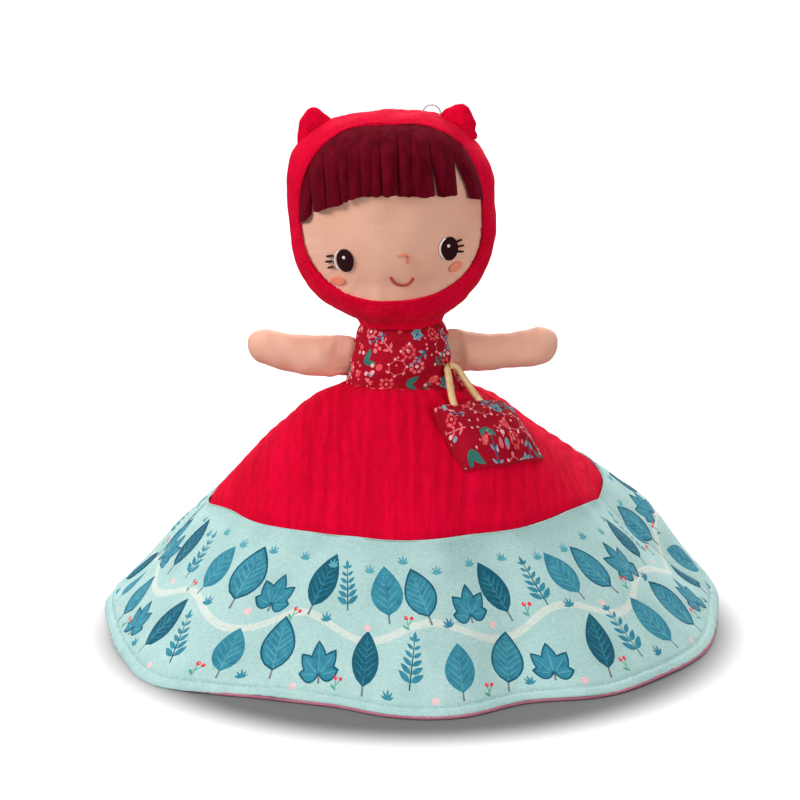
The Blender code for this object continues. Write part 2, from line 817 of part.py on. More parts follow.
def bodice_mesh(doll, name, foot):
    """A stuffed chest, rounded on top into the ball that the head turns on."""
    ball_radius = doll["ball"]
    start = math.acos(min(doll["chest"] / ball_radius, 1.0))
    collar = doll["pivot"] + ball_radius * math.sin(start)
    rings = []
    for step in range(CHEST_STEPS):
        height = foot + (collar - foot) * step / CHEST_STEPS
        half = bodice_half(doll, height)
        rings.append(oval(Vector((0, 0, height)), half, half * bodice_depth(doll, height)))
    for step in range(CHEST_STEPS + 1):
        turn = start + (HALF * math.pi * NEAR_ONE - start) * step / CHEST_STEPS
        height = doll["pivot"] + ball_radius * math.sin(turn)
        radius = ball_radius * math.cos(turn)
        half = min(bodice_half(doll, height), radius)
        rings.append(oval(Vector((0, 0, height)), half, min(half * NEAR_ONE, radius)))
    return loft(name, rings)


def bodice_depth(doll, height):
    """Flatter at the waist, nearly round where the neck sits."""
    return BODICE_DEPTH_SHARE + (NEAR_ONE - BODICE_DEPTH_SHARE) * smooth_step(height / doll["pivot"])


def shoulder(doll, side):
    """Centre of the arm's rounded root, at the side of the chest."""
    half = bodice_half(doll, doll["shoulder"])
    return Vector((side * (half + doll["arm_radius"] * SHOULDER_OUT_SHARE), 0, doll["shoulder"]))


def make_bodice(doll, colour):
    prefix = doll["prefix"]
    name = prefix + "bodice"
    body = add_object(name, bodice_mesh(doll, name, SEWN_GAP * HALF), colour)
    items = [body]
    for side, word in ((-1, "right"), (1, "left")):
        radius = doll["arm_radius"] + SEWN_GAP
        socket = ball(prefix + "shoulder_socket_" + word, radius, shoulder(doll, side), ARM_SIDES)
        combine(body, socket, "DIFFERENCE")
        items.append(socket)
    seat(doll, items)


def make_arm(doll, side, word):
    """A stuffed arm with a rounded root that turns in the side of the bodice and a mitten end."""
    name = doll["prefix"] + "arm_" + word
    radius = doll["arm_radius"]
    length = doll["arm_length"]
    rings = []
    for step in range(ARM_CAP_STEPS):
        turn = HALF * math.pi * (1 - NEAR_ONE * (1 - step / ARM_CAP_STEPS))
        rings.append((-radius * math.cos(turn), radius * math.sin(turn)))
    for share, swell in ARM_SHAPE_SHARES:
        rings.append((length * share, radius * swell))
    for step in range(1, ARM_CAP_STEPS + 1):
        turn = HALF * math.pi * NEAR_ONE * step / ARM_CAP_STEPS
        rings.append((length + radius * math.sin(turn) * NEAR_ONE, radius * math.cos(turn)))
    turned = Matrix.Rotation(HALF * math.pi, 4, "Y")
    aim = Matrix.Rotation(-doll["arm_raise"], 4, "Y")
    facing = Matrix.Scale(-1, 4, (1, 0, 0)) if side < 0 else Matrix.Identity(4)
    whole = Matrix.Translation(shoulder(doll, side)) @ facing @ aim @ turned
    loops = []
    for along, half in rings:
        ring = oval(Vector((0, 0, along)), half, half, ARM_SIDES)
        loops.append([whole @ point for point in ring])
    arm = add_object(name, loft(name, loops), "skin_cloth")
    seat(doll, [arm])


# Bag


def skirt_top_at(x, y):
    """Height of the outer cloth's middle above a place on the table, near the waist."""
    radius = math.hypot(x, y)
    azimuth = math.atan2(y, x)
    for _ in range(FIT_ROUNDS):
        point = skirt_point(azimuth, radius)
        azimuth += math.atan2(y, x) - math.atan2(point.y, point.x)
        radius += math.hypot(x, y) - math.hypot(point.x, point.y)
    return skirt_height(azimuth, radius)


def bag_frame():
    """Place of the handle's top, and the bag's across, outward and down directions."""
    outward = Vector((math.cos(BAG_AZIMUTH), math.sin(BAG_AZIMUTH), 0))
    across = Vector((-math.sin(BAG_AZIMUTH), math.cos(BAG_AZIMUTH), 0))
    down = outward * math.cos(BAG_SLOPE) - Vector((0, 0, math.sin(BAG_SLOPE)))
    half = bodice_half(UPPER, TACK_HEIGHT)
    side = Vector(
        (
            half * math.cos(TACK_AZIMUTH),
            half * bodice_depth(UPPER, TACK_HEIGHT) * math.sin(TACK_AZIMUTH),
            WAIST_HEIGHT + TACK_HEIGHT,
        )
    )
    return side + outward * TACK_REACH, across, outward, down


def make_bag():
    top, across, outward, down = bag_frame()

    def panel(name, extra, bulge):
        def place(along, lower):
            width = BAG_WIDTH * (1 - (1 - BAG_FOOT_SHARE) * lower)
            x = BAG_ASIDE + width * (along - HALF)
            point = top + across * x + down * (HANDLE_DROP + BAG_HEIGHT * lower)
            rounded = (1 - (2 * along - 1) ** 2) * (1 - lower**2)
            lift = (extra + bulge * rounded) * STEEP_LIFT_SHARE
            point.z = skirt_top_at(point.x, point.y) + lift
            return point

        return sheet(name, BAG_COLUMNS, BAG_ROWS, place, BAG_THICKNESS, "print_cloth")

    rest = RED_THICKNESS * HALF + SEWN_GAP + BAG_THICKNESS * HALF
    panel("bag_back", rest, 0.0)
    panel("bag_front", rest + BAG_THICKNESS + SEWN_GAP, BAG_BULGE)
    make_handle(top, across, down, rest)
    make_tack(top, across, outward)


def make_handle(top, across, down, rest):
    """A cord arch whose feet are sewn to the mouth of the bag."""
    flat = ((-HANDLE_LEFT_FOOT, HANDLE_DROP), (HANDLE_RIGHT_FOOT, HANDLE_DROP))
    points = []
    for step in range(HANDLE_STEPS + 1):
        turn = math.pi * (1 - step / HANDLE_STEPS)
        points.append((HANDLE_BEND * math.cos(turn), HANDLE_BEND * (1 - math.sin(turn))))
    outline = [flat[0]] + points + [flat[1]]
    route = [top + across * x + down * z for x, z in outline]
    for foot in (0, -1):
        end = route[foot]
        end.z = skirt_top_at(end.x, end.y) + rest + BAG_THICKNESS
        end -= down * (HANDLE_RADIUS + SEWN_GAP)
    tube("bag_handle", route, HANDLE_RADIUS, "handle_cord")


def make_tack(top, across, outward):
    """A stitch from the bodice, in a ring round the top of the handle."""
    bm = bmesh.new()
    centre = top + outward * (HANDLE_RADIUS + SEWN_GAP + TACK_RADIUS - TACK_RING)
    loops = []
    for index in range(TACK_SIDES):
        turn = math.tau * index / TACK_SIDES
        spoke = outward * math.cos(turn) + Vector((0, 0, math.sin(turn)))
        loop = []
        for corner in range(TACK_CORNERS):
            angle = math.tau * corner / TACK_CORNERS
            offset = spoke * math.cos(angle) + across * math.sin(angle)
            loop.append(bm.verts.new(centre + spoke * TACK_RING + offset * TACK_RADIUS))
        loops.append(loop)
    for first, second in zip(loops, loops[1:] + loops[:1]):
        for index in range(TACK_CORNERS):
            after = (index + 1) % TACK_CORNERS
            bm.faces.new((first[index], first[after], second[after], second[index]))
    add_object("bag_tack", mesh_from(bm, "bag_tack"), "red_cloth")


clear_scene()
PARTS = new_collection("topsy_turvy_doll")
CUTTERS = new_collection("cutters")
make_skirt()
make_head(UPPER, "hood", "red_cloth", "hair_cloth")
make_ears(UPPER)
make_hang_loop(UPPER)
make_head(LOWER, "inner_bonnet", "pink_cloth", "inner_hair")
for one, dress in ((UPPER, "print_cloth"), (LOWER, "pink_cloth")):
    make_bodice(one, dress)
    for one_side, one_word in ((-1, "right"), (1, "left")):
        make_arm(one, one_side, one_word)
make_bag()
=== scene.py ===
import math
from contextlib import contextmanager

import bmesh
import bpy
import numpy as np
from mathutils import Matrix, Vector
from mathutils.geometry import delaunay_2d_cdt


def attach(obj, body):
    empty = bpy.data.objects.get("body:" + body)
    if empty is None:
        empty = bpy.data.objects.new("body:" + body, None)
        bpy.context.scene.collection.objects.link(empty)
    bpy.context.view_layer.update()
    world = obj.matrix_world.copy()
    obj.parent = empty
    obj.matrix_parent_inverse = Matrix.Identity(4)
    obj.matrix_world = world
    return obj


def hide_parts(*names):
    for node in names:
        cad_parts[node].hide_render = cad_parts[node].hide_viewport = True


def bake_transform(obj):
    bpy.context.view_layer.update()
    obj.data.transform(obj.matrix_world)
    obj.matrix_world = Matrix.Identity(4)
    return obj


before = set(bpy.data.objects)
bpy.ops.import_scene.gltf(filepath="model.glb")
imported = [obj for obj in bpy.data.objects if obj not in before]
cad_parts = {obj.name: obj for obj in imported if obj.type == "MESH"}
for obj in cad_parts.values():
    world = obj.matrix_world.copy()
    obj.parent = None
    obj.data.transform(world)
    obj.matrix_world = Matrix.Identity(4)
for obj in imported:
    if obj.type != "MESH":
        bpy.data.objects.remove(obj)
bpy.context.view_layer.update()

MM = 0.001

# Skirt, the same sizes as the solids
WAIST = 0.116
WAIST_HALF = 0.0259
WAIST_DEPTH_SHARE = 0.82
SEAM_RADIUS = 0.096
SEAM_HEIGHT = 0.058
SEAM_LIFT = 0.0045
SEAM_LIFT_SHARE = 0.55
SEAM_SAG = 0.008
SEAM_SAG_AZIMUTH = math.radians(18)
SEAM_SAG_WIDTH = math.radians(14)
HEM_RADIUS = 0.1505
HEM_LEVEL = 0.0009
DOME_POWER = 1.7
LINING_DROP = 0.0030
HEM_STITCH = 0.0038
FOLD_DEPTH = 0.010
# Reach of the hem round the doll: azimuth in degrees, and share of the fold depth
HEM_FOLD_SHARES = (
    (-180, -0.15), (-164, -0.15), (-150, 0.35), (-136, 1.0), (-125, -0.05), (-116, -0.85), (-102, -1.0),
    (-90, -0.05), (-80, 0.2), (-66, -0.5), (-52, 0.75), (-40, 1.05), (-26, 1.45), (-8, 1.2), (14, 1.7),
    (30, 1.2), (46, 0.1), (64, -0.8), (84, 0.1), (100, 0.5), (116, -0.7), (134, 0.2), (150, -0.1),
    (166, -0.5), (180, -0.15),
)
# Swells and sags of the cloth: azimuth and width in degrees, height as a share of the fold depth, and the
# shares of the hem radius at which each starts, is full, starts to fade and ends
SKIRT_SWELL_SHARES = (
    (24, 17, 1.35, 0.45, 0.745, 0.80, 0.97),
    (18, 30, -0.28, 0.24, 0.345, 0.40, 0.63),
    (170, 26, -0.75, 0.235, 0.49, 0.53, 0.745),
    (-2, 7, -0.45, 0.565, 0.73, 0.86, 0.97),
    (-178, 7, -0.40, 0.60, 0.73, 0.86, 0.97),
)
# Lesser swells and creases that only the visual cloth has, in the same terms
SKIRT_CREASE_SHARES = (
    (-90, 75, 0.20, 0.10, 0.15, 0.20, 0.30),
    (151, 26, -0.66, 0.15, 0.22, 0.34, 0.50),
    (40, 24, 0.36, 0.30, 0.40, 0.46, 0.60),
    (56, 34, -0.32, 0.13, 0.18, 0.25, 0.37),
    (21, 13, 0.48, 0.74, 0.88, 0.94, 1.00),
    (-22, 3.0, -0.16, 0.66, 0.80, 0.90, 0.98),
    (-14, 6.0, 0.14, 0.66, 0.80, 0.88, 0.98),
    (-171, 4.0, 0.12, 0.62, 0.72, 0.86, 0.97),
    (-152, 7.0, -0.12, 0.66, 0.80, 0.86, 0.97),
    (-120, 5.0, -0.10, 0.70, 0.84, 0.90, 0.98),
    (-97, 8.0, 0.10, 0.68, 0.82, 0.88, 0.98),
    (-63, 6.0, -0.14, 0.70, 0.84, 0.90, 0.98),
    (-46, 7.0, 0.10, 0.68, 0.82, 0.88, 0.98),
    (60, 8.0, -0.20, 0.66, 0.80, 0.88, 0.97),
    (112, 8.0, -0.20, 0.66, 0.80, 0.88, 0.97),
)

# The two dolls, heights from each one's own waist, the same sizes as the solids
UPPER = {
    "prefix": "", "half": 0.0505, "centre": 0.087, "rise": 0.050, "drop": 0.055, "neck": 0.0208,
    "crown_power": 2.8, "chest": 0.0225, "pivot": 0.018, "ball": 0.024, "shoulder": 0.0145,
    "arm_length": 0.0415, "arm_radius": 0.0092, "arm_raise": math.radians(6), "tilt": math.radians(-2.5),
    "slump": 0.0092,
    "place": Matrix.Translation((0, 0, WAIST)),
}
LOWER = {
    "prefix": "inner_", "half": 0.040, "centre": 0.078, "rise": 0.0385, "drop": 0.044, "neck": 0.0188,
    "crown_power": 4.0, "chest": 0.0215, "pivot": 0.016, "ball": 0.022, "shoulder": 0.0165,
    "arm_length": 0.038, "arm_radius": 0.0078, "arm_raise": math.radians(40), "tilt": 0.0, "slump": 0.0,
    "place": Matrix.Translation((0, 0, WAIST)) @ Matrix.Rotation(math.pi, 4, "Y"),
}
CHIN_POWER = 2.2
NECK_BLEND = 0.003
HEAD_DEPTH_SHARE = 0.74
OPENING_WIDTH_SHARE = 0.875
OPENING_RISE_SHARE = 0.92
OPENING_DROP_SHARE = 0.69
OPENING_POWER = 2.55
FACE_SET_BACK = 0.0017
EDGING_SUNK = -0.0007
EDGING_RADIUS = 0.0009
CORE_SET_BACK = 0.0019
SOCKET_GAP = 0.0004
CROWN_SEAM_BACK = 0.003
HOOD_SEAM_DEPTH = 0.0007
HOOD_VOXEL = 0.0010
EAR_VOXEL = 0.0008
SMOOTHING_STEPS = 6
NECK_ASIDE = 0.0022
SHOULDER_OUT_SHARE = 0.5
FLAT_DEPTH = 0.0005
FORWARD = Vector((0, -1, 0))
FACE_THICKNESS = 0.0012
FRINGE_THICKNESS = 0.0011

# Camera
CAMERA_PITCH = math.radians(74)
CAMERA_PLACE = Vector((0.001, -1.1535, 0.4378))
CAMERA_LENS = 108


# Small helpers


def smooth_step(value):
    value = np.clip(value, 0.0, 1.0)
    return value * value * (3 - 2 * value)


def ripple(points, size, seed):
    """Smooth, repeatable unevenness of about one size, mostly between -1 and 1."""
    source = np.random.default_rng(seed)
    waves = source.normal(size=(7, points.shape[1]))
    waves /= np.linalg.norm(waves, axis=1)[:, None]
    rates = math.tau / size * source.uniform(0.7, 1.5, 7)
    phases = source.uniform(0, math.tau, 7)
    total = np.zeros(len(points))
    for wave, rate, phase in zip(waves, rates, phases):
        total += np.sin(points @ wave * rate + phase)
    return total / 2.6


def peak(value, middle, width):
    """1 at a place, falling smoothly to 0 on both sides of it."""
    return np.exp(-(((value - middle) / width) ** 2))


def link(name, mesh, materials=()):
    for material in materials:
        mesh.materials.append(material)
    mesh.shade_smooth()
    item = bpy.data.objects.new(name, mesh)
    bpy.context.scene.collection.objects.link(item)
    return item


def bake(item):
    """Put what the modifiers make into the mesh itself."""
    graph = bpy.context.evaluated_depsgraph_get()
    mesh = bpy.data.meshes.new_from_object(item.evaluated_get(graph))
    item.modifiers.clear()
    item.data = mesh
    mesh.shade_smooth()
    return item


@contextmanager
def edited(mesh):
    """A mesh opened for changes, which are written back at the end."""
    bm = bmesh.new()
    bm.from_mesh(mesh)
    yield bm
    bm.to_mesh(mesh)
    bm.free()


def coordinates(mesh):
    out = np.zeros(len(mesh.vertices) * 3)
    mesh.vertices.foreach_get("co", out)
    return out.reshape(-1, 3)


def set_coordinates(mesh, points):
    mesh.vertices.foreach_set("co", np.asarray(points, float).ravel())
    mesh.update()


def normals(mesh):
    out = np.zeros(len(mesh.vertices) * 3)
    mesh.vertices.foreach_get("normal", out)
    return out.reshape(-1, 3)


def apply_matrix(matrix, points):
    m = np.array(matrix)
    return points @ m[:3, :3].T + m[:3, 3]


def grid(name, columns, rows, place, materials, closed=False, flip=False):
    """Sheet of quads whose points come from a function of two shares, with its UV in the same shares."""
    across, down = np.meshgrid(np.linspace(0, 1, columns + 1), np.linspace(0, 1, rows + 1))
    if closed:
        across = across[:, :-1]
        down = down[:, :-1]
    wide = across.shape[1]
    points = place(across.ravel(), down.ravel())
    faces = []
    for row in range(rows):
        above = row * wide
        below = above + wide
        for column in range(columns):
            after = (column + 1) % wide
            quad = [above + column, below + column, below + after, above + after]
            faces.append(quad[::-1] if flip else quad)
    mesh = bpy.data.meshes.new(name)
    mesh.from_pydata(points.tolist(), [], faces)
    return link(name, mesh, materials)


def thicken(item, thickness, offset=-1.0):
    modifier = item.modifiers.new("thickness", "SOLIDIFY")
    modifier.thickness = thickness
    modifier.offset = offset
    return bake(item)


def cap_ends(item):
    """Close the open rings of a lofted form."""
    with edited(item.data) as bm:
        edges = [edge for edge in bm.edges if edge.is_boundary]
        bmesh.ops.holes_fill(bm, edges=edges, sides=0)
        bmesh.ops.recalc_face_normals(bm, faces=bm.faces)
    item.data.shade_smooth()
    return item


def tube(name, points, radius, materials, sides=4, cyclic=False):
    """Cord along a smooth path, turned into a mesh."""
    curve = bpy.data.curves.new(name, "CURVE")
    curve.dimensions = "3D"
    curve.bevel_depth = radius
    curve.bevel_resolution = sides
    curve.use_fill_caps = True
    spline = curve.splines.new("NURBS")
    spline.points.add(len(points) - 1)
    spline.order_u = 3
    spline.use_endpoint_u = not cyclic
    spline.resolution_u = 6
    spline.use_cyclic_u = cyclic
    for target, point in zip(spline.points, points):
        target.co = (*point, 1)
    item = bpy.data.objects.new(name, curve)
    bpy.context.scene.collection.objects.link(item)
    bpy.context.view_layer.update()
    graph = bpy.context.evaluated_depsgraph_get()
    mesh = bpy.data.meshes.new_from_object(item.evaluated_get(graph))
    bpy.data.objects.remove(item, do_unlink=True)
    with edited(mesh) as bm:
        bmesh.ops.remove_doubles(bm, verts=bm.verts, dist=0.00001)
    return link(name, mesh, materials)


def stitch_row(name, centres, along, outward, length, radius, materials):
    """Separate stitches: one small lens of thread at each place, lying along the seam."""
    bm = bmesh.new()
    bmesh.ops.create_uvsphere(bm, u_segments=8, v_segments=5, radius=1)
    bm.verts.ensure_lookup_table()
    unit = np.array([vertex.co for vertex in bm.verts])
    shape = [[vertex.index for vertex in face.verts] for face in bm.faces]
    bm.free()
    side = np.cross(along, outward)
    points = (
        centres[:, None, :]
        + along[:, None, :] * unit[None, :, 2:3] * length / 2
        + side[:, None, :] * unit[None, :, 0:1] * radius
        + outward[:, None, :] * unit[None, :, 1:2] * radius
    )
    faces = []
    for index in range(len(centres)):
        start = index * len(unit)
        faces += [[start + corner for corner in face] for face in shape]
    mesh = bpy.data.meshes.new(name)
    mesh.from_pydata(points.reshape(-1, 3).tolist(), [], faces)
    with edited(mesh) as bm:
        bmesh.ops.recalc_face_normals(bm, faces=bm.faces)
    return link(name, mesh, materials)


def join(name, items):
    """Several meshes as one piece, with their materials kept."""
    mesh = bpy.data.meshes.new(name)
    bm = bmesh.new()
    for item in items:
        slots = []
        for material in item.data.materials:
            if material.name not in mesh.materials:
                mesh.materials.append(material)
            slots.append(mesh.materials.find(material.name))
        before = len(bm.faces)
        bm.from_mesh(item.data)
        bm.faces.ensure_lookup_table()
        for face in bm.faces[before:]:
            face.material_index = slots[face.material_index] if slots else 0
        bpy.data.objects.remove(item, do_unlink=True)
    bm.to_mesh(mesh)
    bm.free()
    return link(name, mesh)


# Materials


class Shade:
    """A node material under construction."""

    def __init__(self, name, roughness, sheen=0.0, sheen_tint=(1, 1, 1), specular=0.3):
        self.material = bpy.data.materials.new(name)
        self.material.use_nodes = True
        self.tree = self.material.node_tree
        self.shader = self.tree.nodes["Principled BSDF"]
        self.shader.inputs["Roughness"].default_value = roughness
        self.shader.inputs["Sheen Weight"].default_value = sheen
        self.shader.inputs["Sheen Roughness"].default_value = 0.45
        self.shader.inputs["Sheen Tint"].default_value = (*sheen_tint, 1)
        self.shader.inputs["Specular IOR Level"].default_value = specular
        self.place = self.tree.nodes.new("ShaderNodeTexCoord").outputs["Object"]
        self.height = None

    def link(self, source, target):
        self.tree.links.new(source, target)

    def noise(self, size, detail=3.0, stretch=(1, 1, 1)):
        """Noise whose features measure about one size in metres."""
        mapping = self.tree.nodes.new("ShaderNodeMapping")
        mapping.inputs["Scale"].default_value = stretch
        self.link(self.place, mapping.inputs["Vector"])
        node = self.tree.nodes.new("ShaderNodeTexNoise")
        node.inputs["Scale"].default_value = 1 / size
        node.inputs["Detail"].default_value = detail
        self.link(mapping.outputs["Vector"], node.inputs["Vector"])
        return node.outputs["Fac"]

    def wave(self, pitch, direction, distortion=0.0):
        node = self.tree.nodes.new("ShaderNodeTexWave")
        node.bands_direction = direction
        node.inputs["Scale"].default_value = math.tau / 20 / pitch
        node.inputs["Distortion"].default_value = distortion
        self.link(self.place, node.inputs["Vector"])
        return node.outputs["Fac"]

    def ramp(self, source, low, high, start=0.3, end=0.7):
        """Two colours spread over part of a value's range."""
        node = self.tree.nodes.new("ShaderNodeValToRGB")
        node.color_ramp.elements[0].position = start
        node.color_ramp.elements[1].position = end
        node.color_ramp.elements[0].color = (*low, 1)
        node.color_ramp.elements[1].color = (*high, 1)
        self.link(source, node.inputs["Fac"])
        return node.outputs["Color"]

    def mix(self, first, second, factor, mode="MIX"):
        node = self.tree.nodes.new("ShaderNodeMix")
        node.data_type = "RGBA"
        node.blend_type = mode
        if isinstance(factor, float):
            node.inputs["Factor"].default_value = factor
        else:
            self.link(factor, node.inputs["Factor"])
        for value, socket in ((first, node.inputs["A"]), (second, node.inputs["B"])):
            if isinstance(value, tuple):
                socket.default_value = (*value, 1)
            else:
                self.link(value, socket)
        return node.outputs["Result"]

    def colour(self, source):
        self.link(source, self.shader.inputs["Base Color"])

    def grain(self, base, source, low, high, start=0.3, end=0.7):
        """Base colour, darker and lighter by a value: low and high are what it is multiplied by."""
        factor = self.ramp(source, low, high, start, end)
        self.colour(self.mix(base, factor, 1.0, "MULTIPLY"))

    def bump(self, source, distance, strength=1.0):
        """Add a bump on top of those already there."""
        node = self.tree.nodes.new("ShaderNodeBump")
        node.inputs["Strength"].default_value = strength
        node.inputs["Distance"].default_value = distance
        self.link(source, node.inputs["Height"])
        if self.height is not None:
            self.link(self.height, node.inputs["Normal"])
        self.height = node.outputs["Normal"]
        self.link(self.height, self.shader.inputs["Normal"])


def velour(name, colour, deep, glow):
    """Short pile: a soft glow at grazing angles over uneven, brushed pile."""
    shade = Shade(name, 0.95, sheen=0.20, sheen_tint=glow, specular=0.03)
    pile = shade.noise(0.0009, 4)
    brushed = shade.noise(0.012, 3)
    base = shade.ramp(brushed, deep, colour, 0.28, 0.62)
    shade.grain(base, pile, (0.72, 0.72, 0.72), (1.1, 1.1, 1.1))
    shade.bump(pile, 0.00035, 0.55)
    shade.bump(shade.noise(0.005, 2), 0.0008, 0.25)
    return shade.material


def cotton(name, colour, deep, sheen=0.18, weave=0.00075, bump=0.00012, patchy=0.02):
    """Plain woven cotton: crossing threads, slubs and faint patchiness."""
    tint = tuple(min(1.0, c * 0.5 + 0.5) for c in colour)
    shade = Shade(name, 0.88, sheen=sheen, sheen_tint=tint, specular=0.1)
    base = shade.ramp(shade.noise(patchy, 3), deep, colour, 0.3, 0.6)
    slub = shade.noise(0.0016, 4, (1, 1, 3))
    shade.grain(base, slub, (0.86, 0.86, 0.86), (1.06, 1.06, 1.06))
    threads = shade.mix(shade.wave(weave, "DIAGONAL", 1.5), shade.wave(weave, "Z", 1.5), 0.5)
    shade.bump(threads, bump, 0.5)
    shade.bump(slub, bump * 1.6, 0.5)
    return shade.material


def knit(name, colour, deep, blush):
    """Skin-coloured jersey: very fine stitches, faint warmth in places."""
    shade = Shade(name, 0.82, sheen=0.25, sheen_tint=(1.0, 0.86, 0.78), specular=0.2)
    base = shade.ramp(shade.noise(0.03, 2), deep, colour, 0.3, 0.65)
    warmth = shade.ramp(shade.noise(0.022, 2), (0, 0, 0), (0.35, 0.35, 0.35), 0.5, 0.8)
    warm = shade.mix(base, blush, warmth)
    fine = shade.noise(0.0007, 3, (1, 1, 2))
    shade.grain(warm, fine, (0.94, 0.94, 0.94), (1.04, 1.04, 1.04))
    shade.bump(fine, 0.00018, 0.4)
    return shade.material


def crinkled(name, colour, deep, glow):
    """Crinkled double cotton: short vertical crimps over an open weave, their light and shade partly painted
    into the colour as vertical streaks.
    """
    shade = Shade(name, 0.9, sheen=0.10, sheen_tint=glow, specular=0.03)
    # Darker and lighter vertical streaks: painted shade and light of the crimps, over the cloth's own uneven
    # tone
    base = shade.ramp(shade.noise(0.0035, 2, (1.0, 0.06, 0.06)), deep, colour, 0.3, 0.62)
    crimp_and_painted_shade = shade.noise(0.0022, 4, (1.0, 0.3, 0.3))
    # The same noise darkens and lightens the colour as painted shade of the crimps, and makes their bumps
    shade.grain(base, crimp_and_painted_shade, (0.86, 0.86, 0.86), (1.06, 1.06, 1.06))
    shade.bump(crimp_and_painted_shade, 0.0005, 0.4)
    shade.bump(shade.noise(0.0008, 3), 0.00025, 0.4)
    return shade.material


def fleece(name, colour, deep, tip):
    """Cut fleece: matt, with loose fibres and paler worn tips."""
    shade = Shade(name, 1.0, sheen=0.2, sheen_tint=tip, specular=0.02)
    fibre = shade.noise(0.0006, 5)
    drift = shade.noise(0.004, 3, (1, 1, 0.25))
    base = shade.ramp(drift, deep, colour, 0.3, 0.65)
    shade.grain(base, fibre, (0.72, 0.72, 0.72), (1.2, 1.15, 1.15), 0.35, 0.75)
    shade.bump(fibre, 0.0006, 0.7)
    return shade.material


def thread(name, colour, deep, pitch=0.00042, gloss=0.45):
    """Satin stitch: parallel threads with a little shine."""
    shade = Shade(name, gloss, specular=0.12)
    lines = shade.wave(pitch, "DIAGONAL", 0.6)
    shade.colour(shade.ramp(lines, deep, colour, 0.1, 0.6))
    shade.bump(lines, 0.00016, 0.7)
    return shade.material


def waxed_cord(name, colour, deep):
    shade = Shade(name, 0.5, specular=0.4)
    twist = shade.wave(0.0011, "DIAGONAL", 0.8)
    patches = shade.ramp(shade.noise(0.004, 3), deep, colour, 0.3, 0.65)
    shade.grain(patches, twist, (0.93, 0.92, 0.89), (1.03, 1.03, 1.03))
    shade.bump(twist, 0.00012, 0.25)
    return shade.material


RED = (0.78, 0.002, 0.034)
RED_DEEP = (0.64, 0.001, 0.024)
RED_GLOW = (1.0, 0.10, 0.18)
SKIN = (0.83, 0.472, 0.345)
SKIN_DEEP = (0.75, 0.388, 0.268)
AQUA = (0.445, 0.655, 0.630)
AQUA_DEEP = (0.385, 0.590, 0.570)

MATS = {
    "hood": velour("hood_velour", RED, RED_DEEP, RED_GLOW),
    "skirt": crinkled("skirt_crinkle", (0.74, 0.001, 0.032), (0.58, 0.001, 0.019), RED_GLOW),
    "skin": knit("skin_jersey", SKIN, SKIN_DEEP, (0.80, 0.36, 0.26)),
    "hair": fleece("fringe_fleece", (0.160, 0.003, 0.014), (0.090, 0.001, 0.006), (0.9, 0.20, 0.26)),
    "eye": thread("eye_thread", (0.030, 0.004, 0.007), (0.014, 0.002, 0.003), gloss=0.7),
    "white": thread("white_thread", (0.92, 0.90, 0.90), (0.72, 0.68, 0.68)),
    "cheek": thread("cheek_thread", (0.93, 0.32, 0.20), (0.86, 0.23, 0.13), gloss=0.7),
    "mouth": thread("mouth_thread", (0.52, 0.075, 0.055), (0.40, 0.045, 0.035)),
    "nose": thread("nose_thread", (0.86, 0.28, 0.15), (0.74, 0.19, 0.10)),
    "seam_red": thread("seam_red_thread", (0.66, 0.006, 0.03), (0.40, 0.002, 0.012)),
    "seam_aqua": thread("seam_aqua_thread", (0.44, 0.64, 0.62), (0.32, 0.50, 0.49)),
    "cord": waxed_cord("handle_waxed_cord", (0.80, 0.57, 0.30), (0.66, 0.43, 0.19)),
    "lining": cotton("lining_cotton", (0.50, 0.18, 0.25), (0.41, 0.13, 0.19)),
    "loop": thread("loop_thread", (0.42, 0.40, 0.40), (0.26, 0.25, 0.25), gloss=0.3),
    "aqua": cotton("band_aqua", AQUA, AQUA_DEEP),
    "teal": cotton("band_teal", (0.045, 0.270, 0.365), (0.028, 0.195, 0.285), patchy=0.004),
    "teal_deep": cotton("band_teal_deep", (0.012, 0.120, 0.180), (0.008, 0.090, 0.140), patchy=0.004),
    "teal_light": cotton("band_teal_light", (0.115, 0.400, 0.470), (0.085, 0.330, 0.400), patchy=0.004),
    "coral": cotton("band_coral", (0.80, 0.060, 0.085), (0.70, 0.040, 0.060)),
    "pink": cotton("band_pink", (0.88, 0.58, 0.60), (0.80, 0.50, 0.53)),
    "green": cotton("band_green", (0.10, 0.42, 0.29), (0.07, 0.34, 0.23)),
    "cream": cotton("band_cream", (0.66, 0.74, 0.68), (0.60, 0.69, 0.63)),
    "stem": cotton("band_stem", (0.20, 0.21, 0.23), (0.15, 0.16, 0.18)),
    "wine": cotton("print_wine", (0.42, 0.002, 0.018), (0.31, 0.001, 0.011), sheen=0.06),
    "print_pink": cotton("print_pink", (0.86, 0.19, 0.22), (0.78, 0.14, 0.17)),
    "print_pale": cotton("print_pale", (0.88, 0.50, 0.50), (0.80, 0.42, 0.42)),
    "print_blue": cotton("print_blue", (0.22, 0.38, 0.45), (0.17, 0.31, 0.38)),
    "print_ink": cotton("print_ink", (0.03, 0.13, 0.25), (0.02, 0.09, 0.19)),
    "print_green": cotton("print_green", (0.04, 0.20, 0.16), (0.025, 0.15, 0.12)),
    "print_coral": cotton("print_coral", (0.80, 0.085, 0.10), (0.70, 0.06, 0.07)),
    "bonnet": velour("bonnet_velour", (0.66, 0.25, 0.34), (0.52, 0.17, 0.25), (1.0, 0.72, 0.78)),
    "inner_hair": fleece("inner_fleece", (0.36, 0.15, 0.055), (0.24, 0.09, 0.03), (1.0, 0.7, 0.45)),
    "rose": cotton("inner_rose", (0.70, 0.31, 0.38), (0.62, 0.25, 0.32)),
}


# Printed cloth


def leaf_outline(length, width, steps=9):
    """A leaf with its stalk end at the origin and its tip up."""
    side = []
    for step in range(1, steps):
        t = step / steps
        half = width / 2 * math.sin(math.pi * t**0.82) ** 0.85
        side.append((half, length * t))
    left = [(-x, y) for x, y in reversed(side)]
    return [(0.0, 0.0)] + side + [(0.0, length)] + left


